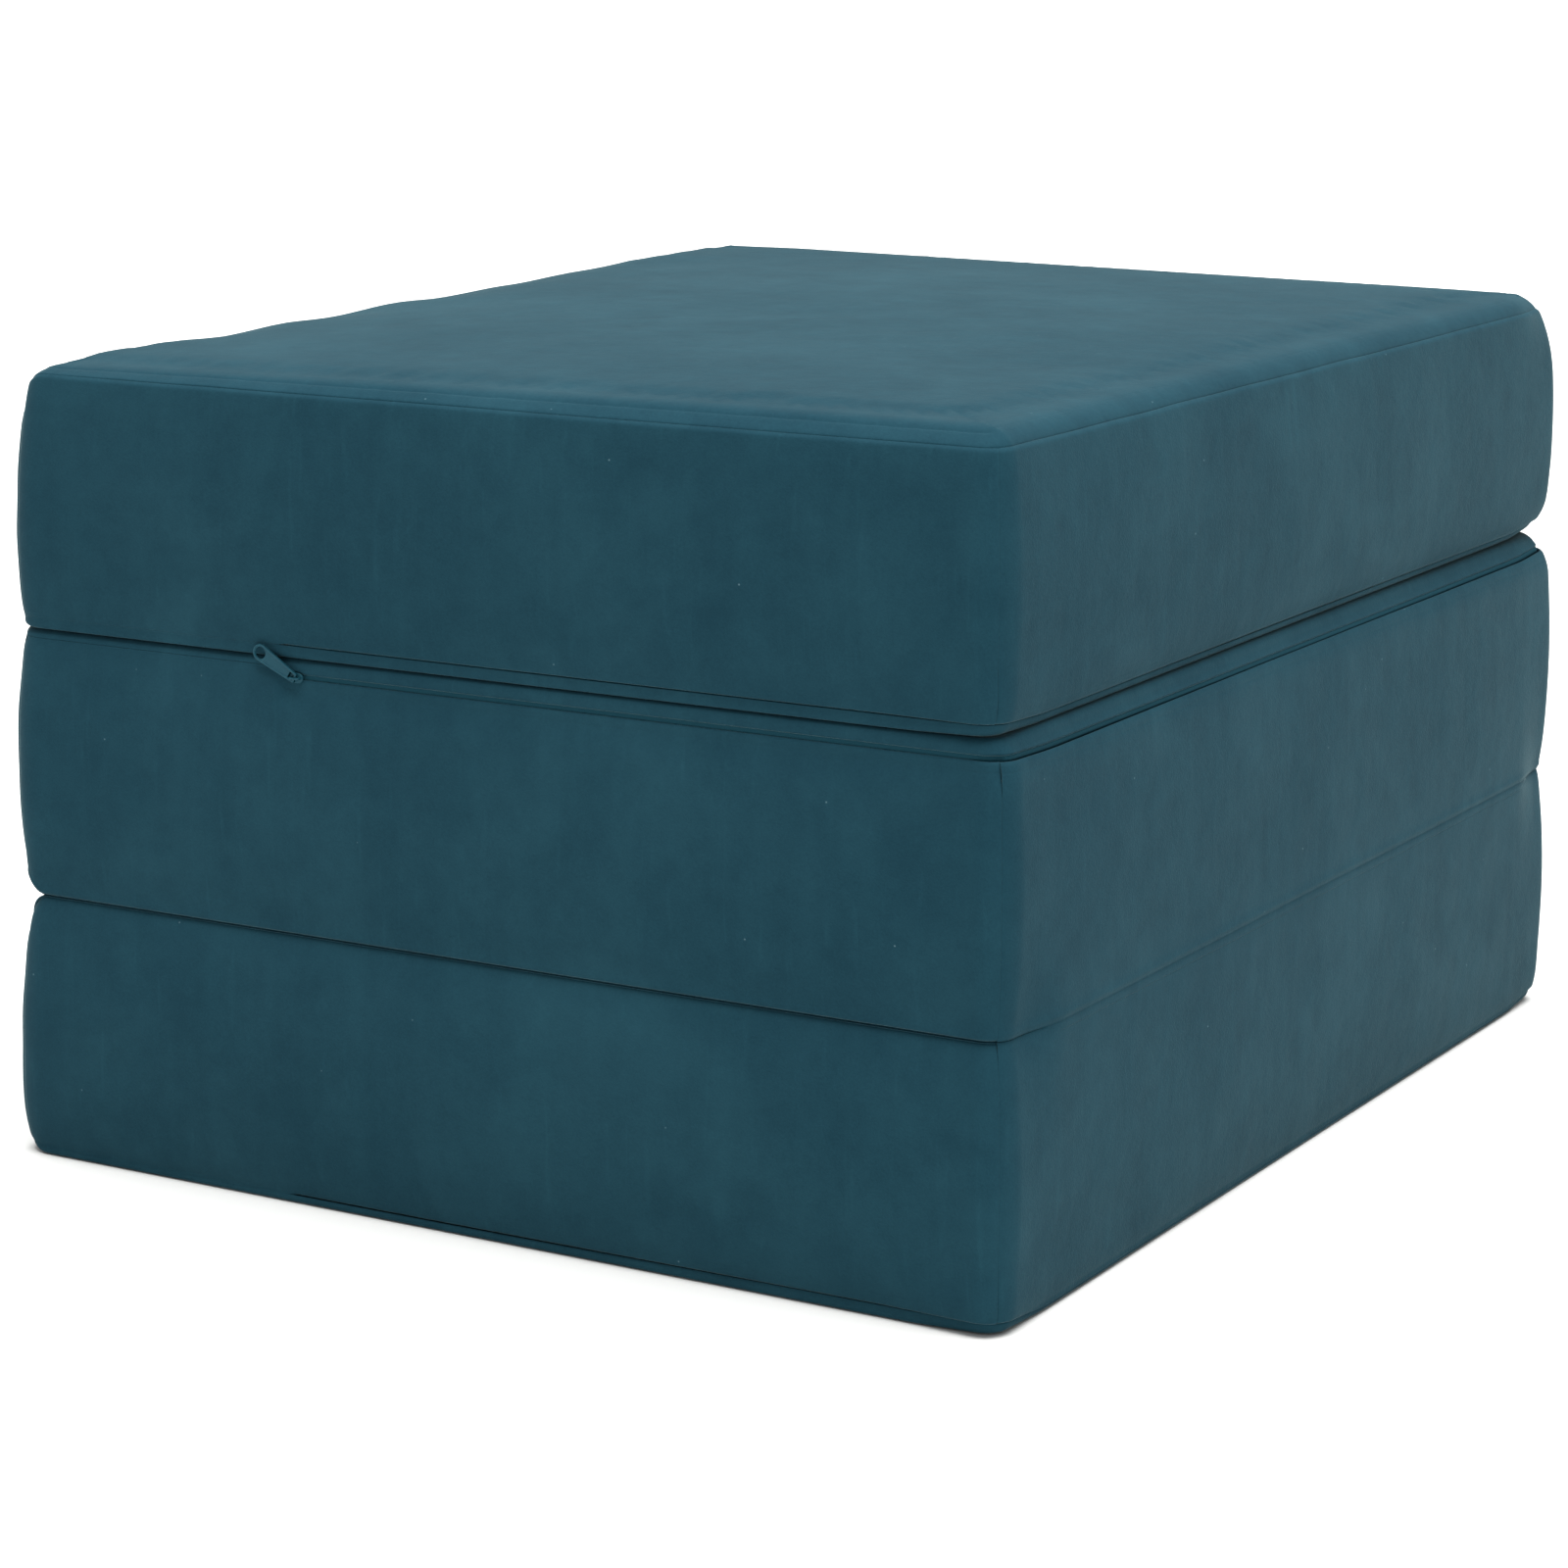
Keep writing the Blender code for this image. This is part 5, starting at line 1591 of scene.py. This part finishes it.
class SOFABED_OT_studio(bpy.types.Operator):
    """Set up the floor, the soft light and the camera"""

    bl_idname = "sofabed.studio"
    bl_label = "Studio"
    bl_options = {"REGISTER", "UNDO"}

    def execute(self, context):
        scene = context.scene
        studio = scene.sofabed_studio
        scene.view_settings.view_transform = "Standard"
        half, level = 30, -mm(0.5)
        floor = mesh_object("floor", [(-half, -half, level), (half, -half, level),
                                      (half, half, level), (-half, half, level)],
                            [(0, 1, 2, 3)], smooth=False)
        floor.data.materials.append(matt_floor(studio))

        world = bpy.data.worlds.new("soft_sky")
        world.use_nodes = True
        sky = world.node_tree.nodes["Background"]
        sky.inputs["Color"].default_value = (1, 1, 1, 1)
        sky.inputs["Strength"].default_value = studio.sky
        scene.world = world

        lamp = bpy.data.lights.new("key_light", "SUN")
        lamp.energy = studio.key
        lamp.angle = math.radians(50)
        light = bpy.data.objects.new("key_light", lamp)
        light.rotation_euler = Vector((-0.1, 0, -1)).to_track_quat("-Z", "Y").to_euler()
        scene.collection.objects.link(light)

        camera = bpy.data.objects.new("camera", bpy.data.cameras.new("camera"))
        camera.location = studio.camera
        camera.rotation_euler = (QUARTER - studio.pitch, 0, studio.azimuth)
        camera.data.lens = studio.lens
        camera.data.sensor_width = 36
        camera.data.shift_y = -studio.shift
        scene.collection.objects.link(camera)
        scene.camera = camera
        return {"FINISHED"}


class SOFABED_PT_panel(bpy.types.Panel):
    """Buttons for the sofa bed's pieces, and its sizes"""

    bl_idname = "SOFABED_PT_panel"
    bl_label = "Folding Sofa Bed"
    bl_space_type = "VIEW_3D"
    bl_region_type = "UI"
    bl_category = "Sofa Bed"

    def draw(self, context):
        column = self.layout.column()
        for operator in OPERATORS:
            column.operator(operator.bl_idname)
        for key in SETTINGS:
            box = self.layout.box()
            group = getattr(context.scene, key)
            for prop in group.__annotations__:
                box.prop(group, prop)


SETTINGS = {
    "sofabed_cushion": SOFABED_PG_cushion,
    "sofabed_zip": SOFABED_PG_zip,
    "sofabed_finish": SOFABED_PG_finish,
    "sofabed_studio": SOFABED_PG_studio,
}
OPERATORS = (
    SOFABED_OT_studio,
    SOFABED_OT_foam_cores,
    SOFABED_OT_sleeping_covers,
    SOFABED_OT_side_bands,
    SOFABED_OT_base_covers,
    SOFABED_OT_topstitching,
    SOFABED_OT_zip_tapes,
    SOFABED_OT_zip_chains,
    SOFABED_OT_zip_stops,
    SOFABED_OT_zip_sliders,
    SOFABED_OT_zip_pulls,
    SOFABED_OT_hinge_cloths,
)
CLASSES = (*SETTINGS.values(), *OPERATORS, SOFABED_PT_panel)


def register():
    for cls in CLASSES:
        bpy.utils.register_class(cls)
    for key, group in SETTINGS.items():
        setattr(bpy.types.Scene, key, PointerProperty(type=group))


def unregister():
    for key in SETTINGS:
        delattr(bpy.types.Scene, key)
    for cls in reversed(CLASSES):
        bpy.utils.unregister_class(cls)


def main():
    register()
    for operator in OPERATORS:
        group, name = operator.bl_idname.split(".")
        getattr(getattr(bpy.ops, group), name)()


if __name__ == "__main__":
    main()
